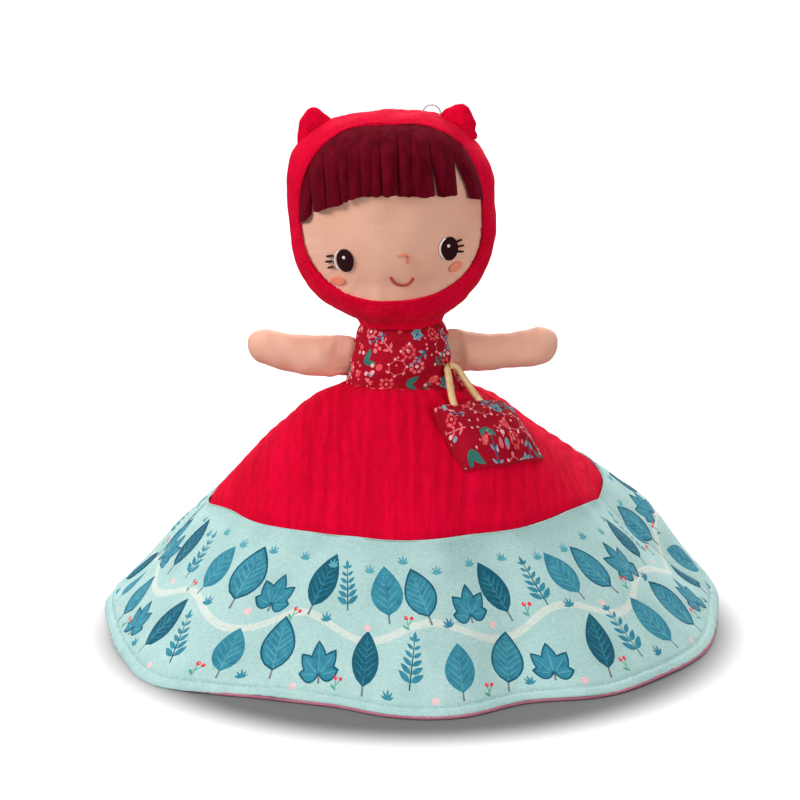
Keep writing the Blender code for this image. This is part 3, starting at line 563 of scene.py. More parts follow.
def disc(x, y, radius, sides=12):
    return [
        (x + radius * math.cos(math.tau * k / sides), y + radius * math.sin(math.tau * k / sides))
        for k in range(sides)
    ]


def bar(x0, y0, x1, y1, width, taper=1.0):
    """A straight stroke, which may narrow towards its far end."""
    dx = x1 - x0
    dy = y1 - y0
    size = math.hypot(dx, dy)
    nx = -dy / size * width / 2
    ny = dx / size * width / 2
    return [
        (x0 - nx, y0 - ny),
        (x1 - nx * taper, y1 - ny * taper),
        (x1 + nx * taper, y1 + ny * taper),
        (x0 + nx, y0 + ny),
    ]


def turned(shapes, x, y, angle, size=1.0):
    """Motif moved, turned and scaled on the flat cloth."""
    cosine = math.cos(angle) * size
    sine = math.sin(angle) * size
    out = []
    for ink, outline in shapes:
        out.append((ink, [(x + a * cosine - b * sine, y + a * sine + b * cosine) for a, b in outline]))
    return out


def veined_leaf(length, width, edge="teal_deep", body="teal", vein="teal_light"):
    """Broad leaf with a dark rim, a stalk, a midrib and slanting veins."""
    shapes = [("stem", bar(0, -length * 0.16, 0, 1.0, 1.1, 0.8)), (edge, leaf_outline(length, width))]
    inner = [(a, b + 1.1) for a, b in leaf_outline(length - 2.6, width - 2.0)]
    shapes.append((body, inner))
    shapes.append((vein, bar(0, 1.6, 0, length - 3.0, 0.7, 0.4)))
    pairs = max(3, int(length / 4.5))
    for k in range(pairs):
        t = 0.16 + 0.6 * k / (pairs - 1)
        half = width / 2 * math.sin(math.pi * (t + 0.10) ** 0.82) ** 0.85 - 1.9
        root = length * t
        for side in (-1, 1):
            shapes.append((vein, bar(side * 0.55, root, side * half, root + half * 0.8, 0.55, 0.5)))
    return shapes


def lobed_leaf(length, width):
    """Leaf of five rounded lobes round a stalk, each with its own vein."""
    shapes = [("stem", bar(0, -length * 0.22, 0, 1.5, 1.1, 0.8))]
    lobes = []
    for angle, share in ((-80, 0.62), (80, 0.62), (-38, 0.86), (38, 0.86), (0, 1.0)):
        reach = length * share
        lobes.append((math.radians(angle), reach, width * 0.5))
    for angle, reach, wide in lobes:
        shapes += turned([("teal_deep", leaf_outline(reach, wide))], 0, 0, angle)
    for angle, reach, wide in lobes:
        inner = [("teal", [(a, b + 1.0) for a, b in leaf_outline(reach - 2.4, wide - 1.7)])]
        shapes += turned(inner, 0, 0, angle)
    for angle, reach, wide in lobes:
        strokes = [("teal_light", bar(0, 2.2, 0, reach * 0.78, 0.6, 0.4))]
        shapes += turned(strokes, 0, 0, angle)
    return shapes


def frond(length, pairs, ink, stalk):
    """Upright stalk with pairs of small leaflets that shorten towards the tip."""
    shapes = [(stalk, bar(0, 0, 0, length * 0.94, 0.7, 0.5))]
    for k in range(pairs):
        t = 0.14 + 0.74 * k / (pairs - 1)
        reach = length * 0.30 * (1.05 - t * 0.75)
        for side in (-1, 1):
            leaflet = [(ink, leaf_outline(reach, reach * 0.42, 5))]
            shapes += turned(leaflet, side * 0.3, length * t, side * math.radians(-52))
    shapes += turned([(ink, leaf_outline(length * 0.2, length * 0.08, 5))], 0, length * 0.86, 0)
    return shapes


def tuft(size, ink):
    """Five thin blades from one root."""
    shapes = []
    for angle, share in ((-62, 0.7), (62, 0.7), (-30, 0.9), (30, 0.9), (0, 1.0)):
        shapes += turned([(ink, leaf_outline(size * share, size * 0.24, 5))], 0, 0, math.radians(angle))
    return shapes


def berries(size):
    """Two or three berries on a green twig with one leaf."""
    shapes = [
        ("green", bar(0, 0, 0, size, 0.5)),
        ("green", bar(0, size * 0.4, size * 0.4, size * 0.85, 0.45)),
    ]
    shapes += turned([("green", leaf_outline(size * 0.6, size * 0.24, 5))], 0, size * 0.1, math.radians(48))
    shapes.append(("coral", disc(0, size * 1.05, size * 0.19)))
    shapes.append(("coral", disc(size * 0.45, size * 0.95, size * 0.17)))
    shapes.append(("pink", disc(size * 0.06, size * 1.10, size * 0.06, 8)))
    return shapes


def blossom(radius, petals, petal_ink, heart_ink, mark_ink):
    """Open flower seen from above."""
    shapes = []
    for k in range(petals):
        angle = math.tau * k / petals
        petal = [(petal_ink, leaf_outline(radius, radius * 4.4 / petals, 6))]
        shapes += turned(petal, 0, 0, angle)
        mark = [(mark_ink, bar(0, radius * 0.25, 0, radius * 0.72, radius * 0.09))]
        shapes += turned(mark, 0, 0, angle)
    shapes.append((heart_ink, disc(0, 0, radius * 0.24, 10)))
    return shapes


def wave_ribbon(length, middle, height, width, period, ink):
    """A wavy stripe along the cloth, in short pieces."""
    shapes = []
    step = 4.0
    count = int(length / step)
    line = []
    for k in range(count + 1):
        x = length * k / count
        line.append((x, middle + height * math.sin(math.tau * x / period)))
    half = width / 2
    for (x0, y0), (x1, y1) in zip(line, line[1:]):
        shapes.append((ink, [(x0, y0 - half), (x1, y1 - half), (x1, y1 + half), (x0, y0 + half)]))
    return shapes


def printed(name, width, height, cell, shapes, place, thickness, ground, fine=()):
    """Cloth with its print in the mesh: outlines are edges, and every face has the material of its ink.

    Flat sizes and shapes are in millimetres, x to the right and y up. Extra rows of the mesh stand at the
    heights in fine.
    """
    columns = max(2, round(width / cell))
    rows = max(2, round(height / cell))
    levels = sorted({round(height * j / rows, 3) for j in range(rows + 1)} | set(fine))
    rows = len(levels) - 1
    points = [(width * i / columns, level) for level in levels for i in range(columns + 1)]
    wide = columns + 1
    last = rows * wide
    edges = [(i, i + 1) for i in range(columns)]
    edges += [(last + i, last + i + 1) for i in range(columns)]
    edges += [(j * wide, (j + 1) * wide) for j in range(rows)]
    edges += [(j * wide + columns, (j + 1) * wide + columns) for j in range(rows)]
    inks = [ground]
    faces = []
    face_ink = []
    for ink, outline in shapes:
        if max(x for x, _ in outline) < 0 or min(x for x, _ in outline) > width:
            continue
        if ink not in inks:
            inks.append(ink)
        start = len(points)
        points += outline
        faces.append(list(range(start, start + len(outline))))
        face_ink.append(inks.index(ink))
    out = delaunay_2d_cdt([Vector(p) for p in points], edges, faces, 0, 0.002, True)
    flat = np.array([(v.x, v.y) for v in out[0]])
    kept = []
    kept_ink = []
    for face, sources in zip(out[2], out[5]):
        middle = flat[face].mean(axis=0)
        if not (0 <= middle[0] <= width and 0 <= middle[1] <= height):
            continue
        kept.append(list(face))
        kept_ink.append(face_ink[max(sources)] if sources else 0)
    used = sorted({corner for face in kept for corner in face})
    order = {old: new for new, old in enumerate(used)}
    flat = flat[used]
    solid = place(flat[:, 0] / width, flat[:, 1] / height)
    mesh = bpy.data.meshes.new(name)
    mesh.from_pydata(solid.tolist(), [], [[order[c] for c in face] for face in kept])
    for ink in inks:
        mesh.materials.append(MATS[ink])
    mesh.polygons.foreach_set("material_index", kept_ink)
    item = link(name, mesh)
    return thicken(item, thickness)


# Skirt


def fold_share(azimuth):
    """Reach of the hem between the named azimuths, on a smooth closed curve."""
    places = np.radians([a for a, _ in HEM_FOLD_SHARES])
    shares = np.array([s for _, s in HEM_FOLD_SHARES])
    turn = (azimuth + math.pi) % math.tau - math.pi
    slot = np.clip(np.searchsorted(places, turn, side="right") - 1, 0, len(places) - 2)
    first = places[slot]
    last = places[slot + 1]
    t = (turn - first) / (last - first)
    count = len(places) - 1
    before = shares[(slot - 1) % count]
    start = shares[slot]
    end = shares[slot + 1]
    after = shares[(slot + 2) % count]
    slope_start = (end - before) / 2
    slope_end = (after - start) / 2
    return (
        (2 * t**3 - 3 * t**2 + 1) * start
        + (t**3 - 2 * t**2 + t) * slope_start
        + (3 * t**2 - 2 * t**3) * end
        + (t**3 - t**2) * slope_end
    )


def profile_height(radius):
    share = np.clip((radius - WAIST_HALF) / (SEAM_RADIUS - WAIST_HALF), 0, None)
    dome = SEAM_HEIGHT + (WAIST - SEAM_HEIGHT) * (1 - np.minimum(share, 1.0) ** DOME_POWER)
    rest = (HEM_RADIUS - radius) / (HEM_RADIUS - SEAM_RADIUS)
    cone = HEM_LEVEL + (SEAM_HEIGHT - HEM_LEVEL) * rest
    return np.where(radius <= SEAM_RADIUS, dome, cone)


def turn_between(azimuth, place):
    """How far azimuths are from a place, the short way round."""
    return (azimuth - place + math.pi) % math.tau - math.pi


def swell_height(azimuth, radius):
    """How far swells, sags and creases lift the cloth."""
    height = np.zeros(np.broadcast(azimuth, radius).shape)
    reach = radius / HEM_RADIUS
    for place, width, lift, start, full, fade, end in SKIRT_SWELL_SHARES + SKIRT_CREASE_SHARES:
        near = peak(turn_between(azimuth, math.radians(place)), 0, math.radians(width))
        level = smooth_step((reach - start) / (full - start)) * smooth_step((end - reach) / (end - fade))
        height = height + FOLD_DEPTH * lift * level * near
    return height


def skirt_point(azimuth, radius, drop=0.0):
    growth = np.clip(radius - WAIST_HALF, 0, None) / (HEM_RADIUS - WAIST_HALF)
    reach = radius + growth**2 * FOLD_DEPTH * fold_share(azimuth)
    roundness = np.minimum(1.0, growth / 0.5)
    flat = 1 - (1 - WAIST_DEPTH_SHARE) * (1 - roundness)
    height = profile_height(radius) + swell_height(azimuth, radius) - drop
    return np.stack((reach * np.cos(azimuth), reach * flat * np.sin(azimuth), height), axis=-1)


def seam_radius(azimuth):
    """Radius of the seam between the upper cloth and the band."""
    lift = SEAM_LIFT * smooth_step(np.abs(np.sin(azimuth)) / SEAM_LIFT_SHARE)
    return SEAM_RADIUS - lift + SEAM_SAG * peak(turn_between(azimuth, SEAM_SAG_AZIMUTH), 0, SEAM_SAG_WIDTH)


def outward(azimuth, radius):
    """Direction square to the outer cloth."""
    step = 0.0006
    along = skirt_point(azimuth + step / radius, radius) - skirt_point(azimuth - step / radius, radius)
    down = skirt_point(azimuth, radius + step) - skirt_point(azimuth, radius - step)
    square = np.cross(down, along)
    return square / np.linalg.norm(square, axis=-1, keepdims=True)


def ribs(azimuth, radius):
    """Crinkle ribs that run straight down the front and the back, and gathers at the waist."""
    side = np.where(np.sin(azimuth) < 0, -math.pi / 2, math.pi / 2)
    across = radius * 1.2 * np.sin(turn_between(azimuth, side) * 0.7)
    flat = np.stack((across, radius), axis=-1)
    phase = math.tau * across / RIB_PITCH + 1.1 * ripple(flat, 0.07, 5)
    depth = RIB_DEPTH * np.clip(0.7 + 0.3 * ripple(flat, 0.06, 9), 0.2, 1)
    below_waist = radius - WAIST_HALF
    gather = 0.0003 * np.sin(31 * azimuth + 1.2 * ripple(flat, 0.02, 12)) * np.exp(-below_waist / 0.009)
    broad = 0.0003 * ripple(flat, 0.060, 14) * smooth_step(below_waist / 0.03)
    return np.cos(phase) * depth * smooth_step(below_waist / 0.03) + gather + broad


def make_red_skirt():
    """The domed upper cloth, one piece round the doll; its foot runs in under the band's edge."""

    def place(across, down):
        azimuth = across * math.tau - math.pi / 2
        seam = seam_radius(azimuth)
        radius = WAIST_HALF - WAIST_TUCK + (seam + BAND_LAP - WAIST_HALF + WAIST_TUCK) * down
        tuck = 0.0012 * smooth_step((radius - seam + 0.0030) / 0.0030)
        lift = ribs(azimuth, radius) * smooth_step((seam - radius) / 0.008) + SKIRT_PROUD - tuck
        return skirt_point(azimuth, radius) + outward(azimuth, radius) * lift[:, None]

    cloth = grid("skirt_red_cloth", 900, 110, place, [MATS["skirt"]], closed=True)
    thicken(cloth, RED_THICKNESS)
    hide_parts("skirt_front", "skirt_back")
    blend_skirt(cloth)


def blend_skirt(piece):
    """Put the piece's placement into its mesh."""
    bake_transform(piece)


RIB_PITCH = 0.0062
RIB_DEPTH = 0.00025
RED_THICKNESS = 0.0010
BAND_THICKNESS = 0.0008
LINING_THICKNESS = 0.0007
# How far the red cloth goes in at the waist and under the band's edge, and stands off the common surface
WAIST_TUCK = 0.0004
BAND_LAP = 0.0016
SKIRT_PROUD = 0.0007
# Where the band's print isn't stretched, and the print's size in millimetres
BAND_MEAN_RADIUS = 0.125
BAND_WIDTH = math.pi * round(BAND_MEAN_RADIUS / MM)
BAND_HEIGHT = 78.0
# Where the hem is puckered most
PUCKER_AZIMUTH = math.radians(-152)
# Where the lining's lip shows under the hem, and how much of it
LIP_SHOWS = 0.0005
LIP_STEP = math.radians(12)
LIP_ENDS = (math.radians(-118), math.radians(158))
LIP_GAP = (math.radians(-14), math.radians(60))
# How much shorter the lining is than the cloth over it
LINING_SHORTER = 0.005


def lip_hidden(azimuth):
    """0 where the lining's lip shows under the band, 1 where the band hides it."""
    turn = turn_between(azimuth, 0.0)
    hidden = smooth_step((LIP_ENDS[0] - turn) / LIP_STEP)
    hidden = hidden + smooth_step((turn - LIP_ENDS[1]) / LIP_STEP)
    return hidden + smooth_step((turn - LIP_GAP[0]) / LIP_STEP) * (turn < LIP_GAP[1])


def band_foot(azimuth):
    """Radius where the band ends: lower where it hides the lining's lip."""
    return HEM_RADIUS - LIP_SHOWS * (1 - lip_hidden(azimuth))


def band_place(first):
    """Where a share of the flat band lies on the skirt, for the half that starts at this azimuth."""

    def place(across, up):
        azimuth = first + across * math.pi
        start = seam_radius(azimuth) - 0.0003
        radius = start + (band_foot(azimuth) - start) * (1 - up)
        flat = np.stack((azimuth * 0.13, radius), axis=-1)
        uneven = 0.00025 * ripple(flat, 0.025, 21) + 0.0003 * ripple(flat, 0.055, 22)
        edge = 0.0009 * peak(radius, start, 0.0022)
        turned_up = HEM_RADIUS - radius
        stitch = -0.0005 * peak(turned_up, HEM_STITCH, 0.0006)
        puff = 0.0005 * smooth_step((HEM_STITCH - turned_up) / 0.0015) * smooth_step(turned_up / 0.0012)
        pull = 0.5 + 0.5 * ripple(np.stack((azimuth, azimuth * 0), axis=-1), 0.5, 24)
        slack = 1 + 1.6 * peak(turn_between(azimuth, PUCKER_AZIMUTH), 0, 0.45)
        pucker = 0.0004 * pull * slack * np.sin(azimuth * 118 + 2.5 * np.sin(azimuth * 13))
        lift = uneven + edge + stitch + puff + pucker * np.exp(-turned_up / 0.007)
        points = skirt_point(azimuth, radius) + outward(azimuth, radius) * lift[:, None]
        points[:, 2] = np.maximum(points[:, 2], 0.0006)
        return points

    return place


def band_motifs(seed):
    """Leaves in two staggered rows, with fronds, tufts, berries and dots between them."""
    source = np.random.default_rng(seed)
    shapes = wave_ribbon(BAND_WIDTH, 36, 5.5, 3.6, BAND_WIDTH / 6, "cream")
    kinds = (
        lambda: veined_leaf(27, 17.5),
        lambda: frond(26, 6, "teal", "teal_deep"),
        lambda: lobed_leaf(17, 17),
        lambda: veined_leaf(24, 16, "teal", "teal", "teal_light"),
        lambda: veined_leaf(28, 15, "teal_deep", "teal_deep", "teal"),
    )
    pitch = BAND_WIDTH / 19
    for row, base in ((0, 43.0), (1, 11.0)):
        for k in range(-1, 21):
            x = (k + 0.25 + 0.5 * row) * pitch + source.uniform(-1.2, 1.2)
            y = base + source.uniform(-2.0, 2.0)
            tilt = math.radians(source.uniform(-22, 22))
            kind = kinds[(k * 2 + row * 3) % len(kinds)]
            shapes += widened(kind(), x, y, tilt, source.uniform(0.86, 1.02))
    for k in range(-1, 40):
        x = (k + 0.5) * pitch / 2 + source.uniform(-1.5, 1.5)
        low = k % 2 == 0
        y = (6.5 if low else 38.5) + source.uniform(-2, 2)
        if k % 3 == 0:
            shapes += widened(tuft(5.0, "teal"), x, y, math.radians(source.uniform(-15, 15)), 1.0)
        elif k % 3 == 1:
            shapes += widened(berries(5.6), x, y, math.radians(source.uniform(-15, 15)), 1.0)
        else:
            shapes += widened([("pink", disc(0, 0, 1.7))], x, y, 0, 1.0)
    for k in range(-1, 20):
        x = (k + 0.62) * pitch + source.uniform(-1.5, 1.5)
        shapes += widened(tuft(4.6, "teal_light"), x, 66 + source.uniform(-3, 3), 0.0, 1.0)
    return shapes


def widened(shapes, x, y, angle, size):
    """Motif set on the band so that the cloth's flare doesn't stretch it."""
    out = []
    for ink, outline in turned(shapes, 0, 0, angle, size):
        points = []
        for a, b in outline:
            share = 1 - (y + b) / BAND_HEIGHT
            radius = SEAM_RADIUS + (HEM_RADIUS - SEAM_RADIUS) * share
            points.append((x + a * BAND_MEAN_RADIUS / radius, y + b))
        out.append((ink, points))
    return out


def make_band():
    for half, first, seed in (("front", -math.pi, 3), ("back", 0.0, 8)):
        name = "band_cloth_" + half
        fine = [0.45 * k for k in range(1, 22)] + [BAND_HEIGHT - 0.5 * k for k in range(1, 10)]
        motifs = band_motifs(seed)
        place = band_place(first)
        cloth = printed(name, BAND_WIDTH, BAND_HEIGHT, 2.0, motifs, place, BAND_THICKNESS, "aqua", fine)
        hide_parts("band_" + half)
        blend_skirt(cloth)


def make_lining():
    """The pink lining, which shows from below and where the skirt is turned."""

    def place(across, down):
        azimuth = across * math.tau - math.pi / 2
        radius = WAIST_HALF + (HEM_RADIUS - LINING_SHORTER - WAIST_HALF) * down
        return skirt_point(azimuth, radius, LINING_DROP)

    cloth = grid("lining_cloth", 480, 64, place, [MATS["lining"]], closed=True)
    thicken(cloth, LINING_THICKNESS)
    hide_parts("lining_front", "lining_back")
    blend_skirt(cloth)


def make_hem():
    """The stitched edge where band and lining meet: the lining's pink lip, a soft roll on the table."""

    def place(across, around):
        azimuth = across * math.tau
        turn = -around * math.tau
        centre = skirt_point(azimuth, HEM_RADIUS - 0.0014 - 0.0008 * lip_hidden(azimuth))
        centre[:, 2] = 0.0009
        uneven = 1 + 0.10 * np.sin(97 * azimuth + 3 * np.sin(7 * azimuth))
        reach = 0.0016 * np.sign(np.cos(turn)) * np.abs(np.cos(turn)) ** 0.8
        level = 0.0008 * np.sign(np.sin(turn)) * np.abs(np.sin(turn)) ** 0.8 * uneven
        points = centre + np.stack((reach * np.cos(azimuth), reach * np.sin(azimuth), level), axis=-1)
        points[:, 2] = np.maximum(points[:, 2], 0.0001)
        return points

    lip = grid("hem_lip", 720, 16, place, [MATS["lining"]], closed=True)
    weld(lip)
    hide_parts("hem_edge")
    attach(lip, "hem")


def weld(item):
    """Join the first and last rows of a ring."""
    with edited(item.data) as bm:
        bmesh.ops.remove_doubles(bm, verts=bm.verts, dist=0.000001)
        bmesh.ops.recalc_face_normals(bm, faces=bm.faces)
    item.data.shade_smooth()


def make_skirt_stitches():
    """The overlock's small scallops along the band's upper edge, and the topstitching above the hem."""

    def stitched_radius(azimuth):
        return np.full_like(azimuth, HEM_RADIUS - HEM_STITCH)

    for name, radius_of, pitch, length, thick, lift in (
        ("seam_stitches", seam_radius, 0.0017, 0.0015, 0.00030, 0.0009),
        ("hem_stitches", stitched_radius, 0.0027, 0.0019, 0.00016, -0.0001),
    ):
        count = int(math.tau * float(radius_of(np.zeros(1))[0]) / pitch)
        azimuth = np.arange(count) * math.tau / count
        radius = radius_of(azimuth)
        square = outward(azimuth, radius)
        ahead = skirt_point(azimuth + 0.004, radius) - skirt_point(azimuth - 0.004, radius)
        ahead /= np.linalg.norm(ahead, axis=1)[:, None]
        centres = skirt_point(azimuth, radius) + square * lift
        row = stitch_row(name, centres, ahead, square, length, thick, [MATS["seam_aqua"]])
        blend_skirt(row)


# Heads


def head_radius(doll, height, inflate=0.0):
    power = doll["crown_power"]
    up = np.clip((height - doll["centre"]) / (doll["rise"] + inflate), 0, 1)
    crown = (doll["half"] + inflate) * (1 - up**power) ** (1 / power)
    low = np.clip((doll["centre"] - height) / (doll["drop"] + inflate), 0, 1)
    chin = (doll["half"] + inflate) * (1 - low**CHIN_POWER) ** (1 / CHIN_POWER)
    neck = doll["neck"] + inflate
    lower = 0.5 * (chin + neck + np.hypot(chin - neck, NECK_BLEND))
    return np.where(height >= doll["centre"], crown, lower)


def depth_share(doll, height):
    chin = doll["centre"] - doll["drop"]
    return 1 - (1 - HEAD_DEPTH_SHARE) * smooth_step((height - chin) / (doll["drop"] * 0.5))


def front_point(doll, across, height, inflate=0.0):
    """A point on the front of the head, in the doll's own frame."""
    radius = head_radius(doll, height, inflate)
    depth = depth_share(doll, height) * np.sqrt(np.clip(radius**2 - across**2, 0, None))
    return np.stack((across, -depth, height), axis=-1)


def seat(doll, lean=True):
    """Matrix from the doll's own frame to where it is."""
    pivot = Vector((0, 0, doll["pivot"]))
    turn = Matrix.Rotation(doll["tilt"] if lean else 0.0, 4, "Y")
    return doll["place"] @ Matrix.Translation(pivot) @ turn @ Matrix.Translation(-pivot)


def head_form(doll, name, inflate=0.0, steps=60, sides=144):
    """The stuffed head and neck, closed."""
    chin = np.sin(math.pi / 2 * (1 - np.arange(1, steps) / steps)) ** (2 / CHIN_POWER)
    low = doll["centre"] - (doll["drop"] + inflate) * chin
    crown = np.sin(math.pi / 2 * 0.985 * np.arange(steps) / (steps - 1)) ** (2 / doll["crown_power"])
    high = doll["centre"] + (doll["rise"] + inflate) * crown
    heights = np.concatenate(((doll["centre"] - doll["drop"],), low, high))

    def place(across, up):
        height = np.interp(up * (len(heights) - 1), np.arange(len(heights)), heights)
        radius = head_radius(doll, height, inflate)
        turn = across * math.tau
        return np.stack(
            (radius * np.cos(turn), radius * depth_share(doll, height) * np.sin(turn), height), axis=-1
        )

    return cap_ends(grid(name, sides, len(heights) - 1, place, [], closed=True, flip=True))


def opening_outline(doll, turn, grow=0.0):
    """The face opening's outline at an angle round its middle: across and height."""
    cosine = np.cos(turn)
    sine = np.sin(turn)
    wide = doll["half"] * OPENING_WIDTH_SHARE + grow
    across = np.sign(cosine) * np.abs(cosine) ** (2 / OPENING_POWER) * wide
    tall = np.where(sine > 0, doll["rise"] * OPENING_RISE_SHARE, doll["drop"] * OPENING_DROP_SHARE) + grow
    return across, doll["centre"] + np.sign(sine) * np.abs(sine) ** (2 / OPENING_POWER) * tall


def opening_prism(doll, name):
    """Cutter with the outline of the face opening."""

    def place(across, up):
        x, z = opening_outline(doll, across * math.tau)
        return np.stack((x, (up - 1) * (doll["half"] + 0.02), z), axis=-1)

    return cap_ends(grid(name, 200, 1, place, [], closed=True, flip=True))


def ball_form(name, centre, radius):
    bm = bmesh.new()
    bmesh.ops.create_uvsphere(bm, u_segments=48, v_segments=24, radius=radius)
    bmesh.ops.translate(bm, vec=centre, verts=bm.verts)
    mesh = bpy.data.meshes.new(name)
    bm.to_mesh(mesh)
    bm.free()
    return link(name, mesh)


def combine(item, other, operation):
    modifier = item.modifiers.new(operation, "BOOLEAN")
    modifier.operation = operation
    modifier.object = other


def resurface(item, voxel, smoothing):
    """Even, softly rounded surface over the whole form."""
    modifier = item.modifiers.new("resurface", "REMESH")
    modifier.mode = "VOXEL"
    modifier.voxel_size = voxel
    modifier = item.modifiers.new("soften", "SMOOTH")
    modifier.factor = 0.5
    modifier.iterations = smoothing
    return bake(item)


def make_hood(doll, name, node, mat):
    """Hood or bonnet: a stuffed shell with a soft lip round the face and a seam over the crown."""
    shell = head_form(doll, name)
    window = opening_prism(doll, name + "_window")
    core = head_form(doll, name + "_core", -FACE_SET_BACK - CORE_SET_BACK)
    socket = ball_form(name + "_socket", (0, 0, doll["pivot"]), doll["ball"] + SOCKET_GAP)
    combine(shell, window, "DIFFERENCE")
    combine(shell, core, "UNION")
    combine(shell, socket, "DIFFERENCE")
    resurface(shell, HOOD_VOXEL, SMOOTHING_STEPS)
    for cutter in (window, core, socket):
        bpy.data.objects.remove(cutter, do_unlink=True)
    points = coordinates(shell.data)
    square = normals(shell.data)
    height = points[:, 2] - (doll["centre"] - doll["drop"])
    radial = np.hypot(points[:, 0], points[:, 1])
    around = 0.85 * head_radius(doll, points[:, 2]) * depth_share(doll, points[:, 2])
    outside = smooth_step((radial - around) / 0.002)
    outer = -front_point(doll, points[:, 0], points[:, 2])[:, 1]
    on_lip = smooth_step((0.0025 - points[:, 1] - outer) / 0.0012)
    outside *= np.where(points[:, 1] < 0, on_lip, 1.0)
    neck = peak(height, 0.004, 0.007)
    lift = (0.00034 * ripple(points, 0.024, 31) + 0.00014 * ripple(points, 0.007, 32)) * (1 - 0.8 * neck)
    turn = np.arctan2(points[:, 1], points[:, 0])
    lift += neck * 0.0002 * np.sin(19 * turn + 3 * np.sin(2 * turn))
    above_chin = points[:, 2] > doll["centre"] - doll["drop"] * 0.5
    seam = peak(points[:, 1], CROWN_SEAM_BACK, 0.0009) * above_chin
    back = peak(points[:, 0], 0, 0.0008) * (points[:, 1] > CROWN_SEAM_BACK)
    lift -= HOOD_SEAM_DEPTH * np.maximum(seam, back)
    if doll is UPPER:
        lift += stuffing_swell(doll, points)
    points = points + square * (lift * outside)[:, None]
    points[:, 0] += neck_aside(doll, points[:, 2])
    if doll is LOWER:
        points[:, 2] = np.minimum(points[:, 2], doll["centre"] + doll["rise"] - FLAT_DEPTH)
    set_coordinates(shell.data, points)
    shell.data.materials.append(MATS[mat])
    shell.data.transform(seat(doll))
    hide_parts(node)
    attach(shell, doll["prefix"] + "head")

    turn = np.linspace(0, math.tau, 120, endpoint=False)
    x, z = opening_outline(doll, turn, 0.0004)
    rim = front_point(doll, x, z, EDGING_SUNK)
    if doll is UPPER:
        rim = front_point(doll, x, z, EDGING_SUNK + stuffing_swell(doll, rim))
    route = apply_matrix(seat(doll), rim)
    edging = tube(name + "_edging", route, EDGING_RADIUS, [MATS[mat]], sides=3, cyclic=True)
    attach(edging, doll["prefix"] + "head")


def neck_aside(doll, height):
    """How far the upper doll's neck stands to its left, at heights above its waist."""
    if doll is LOWER:
        return height * 0
    return NECK_ASIDE * smooth_step(height / 0.022) * (1 - smooth_step((height - 0.032) / 0.026))


# Place across, height from the head's middle, width, height and rise of the upper head's own unevenness
HEAD_SWELLS = (
    (-0.046, 0.027, 0.016, 0.015, 0.0019),
    (-0.038, -0.032, 0.016, 0.016, 0.0019),
    (0.041, 0.038, 0.012, 0.009, -0.0024),
)


def stuffing_swell(doll, points):
    """Where the filling sits unevenly: fuller low at the doll's left cheek, flatter over the crown."""
    across = (points[:, 0] - 0.046) / 0.024
    up = (points[:, 2] - doll["centre"] + 0.020) / 0.022
    cheek = 0.0010 * np.exp(-(across**2) - up**2)
    for place, level, wide, tall, rise in HEAD_SWELLS:
        away = (points[:, 0] - place) / wide
        up = (points[:, 2] - doll["centre"] - level) / tall
        cheek = cheek + rise * np.exp(-(away**2) - up**2)
    crown = 0.0009 * smooth_step((points[:, 2] - doll["centre"] - 0.034) / 0.014)
    return cheek - crown


def make_face(doll):
    """The face cloth, tucked under the hood's lip."""
    name = doll["prefix"] + "face_cloth"

    def place(around, out):
        turn = around * math.tau
        x, z = opening_outline(doll, turn, 0.0008)
        x = x * out
        z = doll["centre"] + (z - doll["centre"]) * out
        points = front_point(doll, x, z, -FACE_SET_BACK)
        edge = smooth_step((out - 0.72) / 0.28)
        pucker = 0.00022 * np.sin(46 * turn + 2 * np.sin(5 * turn)) * edge
        streak = 0.00022 * np.sin(x / 0.0021 + 1.4 * np.sin(z / 0.013))
        sag = 0.00035 * ripple(points, 0.028, 41) + streak * smooth_step(np.abs(z - doll["centre"]) / 0.03)
        full = 0.0006 * (1 - out**2)
        points[:, 1] -= pucker + sag + full
        return points

    face = grid(name, 192, 48, place, [MATS["skin"]], closed=True)
    weld(face)
    points_out(face, FORWARD)
    thicken(face, FACE_THICKNESS)
    face.data.transform(seat(doll))
    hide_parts(doll["prefix"] + "face")
    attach(face, doll["prefix"] + "head")


def points_out(item, direction):
    """Turn an open sheet so that its faces look one way."""
    mesh = item.data
    total = Vector((0, 0, 0))
    for face in mesh.polygons:
        total += face.normal * face.area
    if total.dot(direction) < 0:
        mesh.flip_normals()


# Locks of the fringe in millimetres from the head's middle: left and right edge at the top, left and right
# edge at the foot, height of the foot at each side, and how far the lock stands off
LOCKS = (
    (-44.6, -37.0, -45.6, -37.9, -1.4, 4.8, 0.1),
    (-38.2, -31.3, -37.0, -30.8, 6.6, 9.1, 1.5),
    (-31.6, -24.3, -31.2, -22.2, 9.0, 11.6, 1.0),
    (-24.8, -18.6, -22.8, -18.9, 12.4, 13.6, 0.2),
    (-19.0, -12.6, -20.0, -13.6, 13.4, 15.2, 1.5),
    (-13.0, -7.4, -14.2, -8.6, 15.2, 15.4, 0.3),
    (-8.0, -3.2, -9.8, -3.4, 15.2, 15.0, 0.8),
    (-3.6, 4.0, -3.2, 3.4, 15.0, 15.6, 1.5),
    (3.6, 11.4, 3.6, 11.2, 14.8, 14.4, 0.7),
    (11.0, 18.6, 10.8, 21.2, 14.2, 13.4, 1.4),
    (18.3, 30.8, 22.4, 31.8, 13.2, 12.2, 0.9),
    (30.3, 44.4, 37.2, 44.0, 10.2, 8.2, 1.1),
)


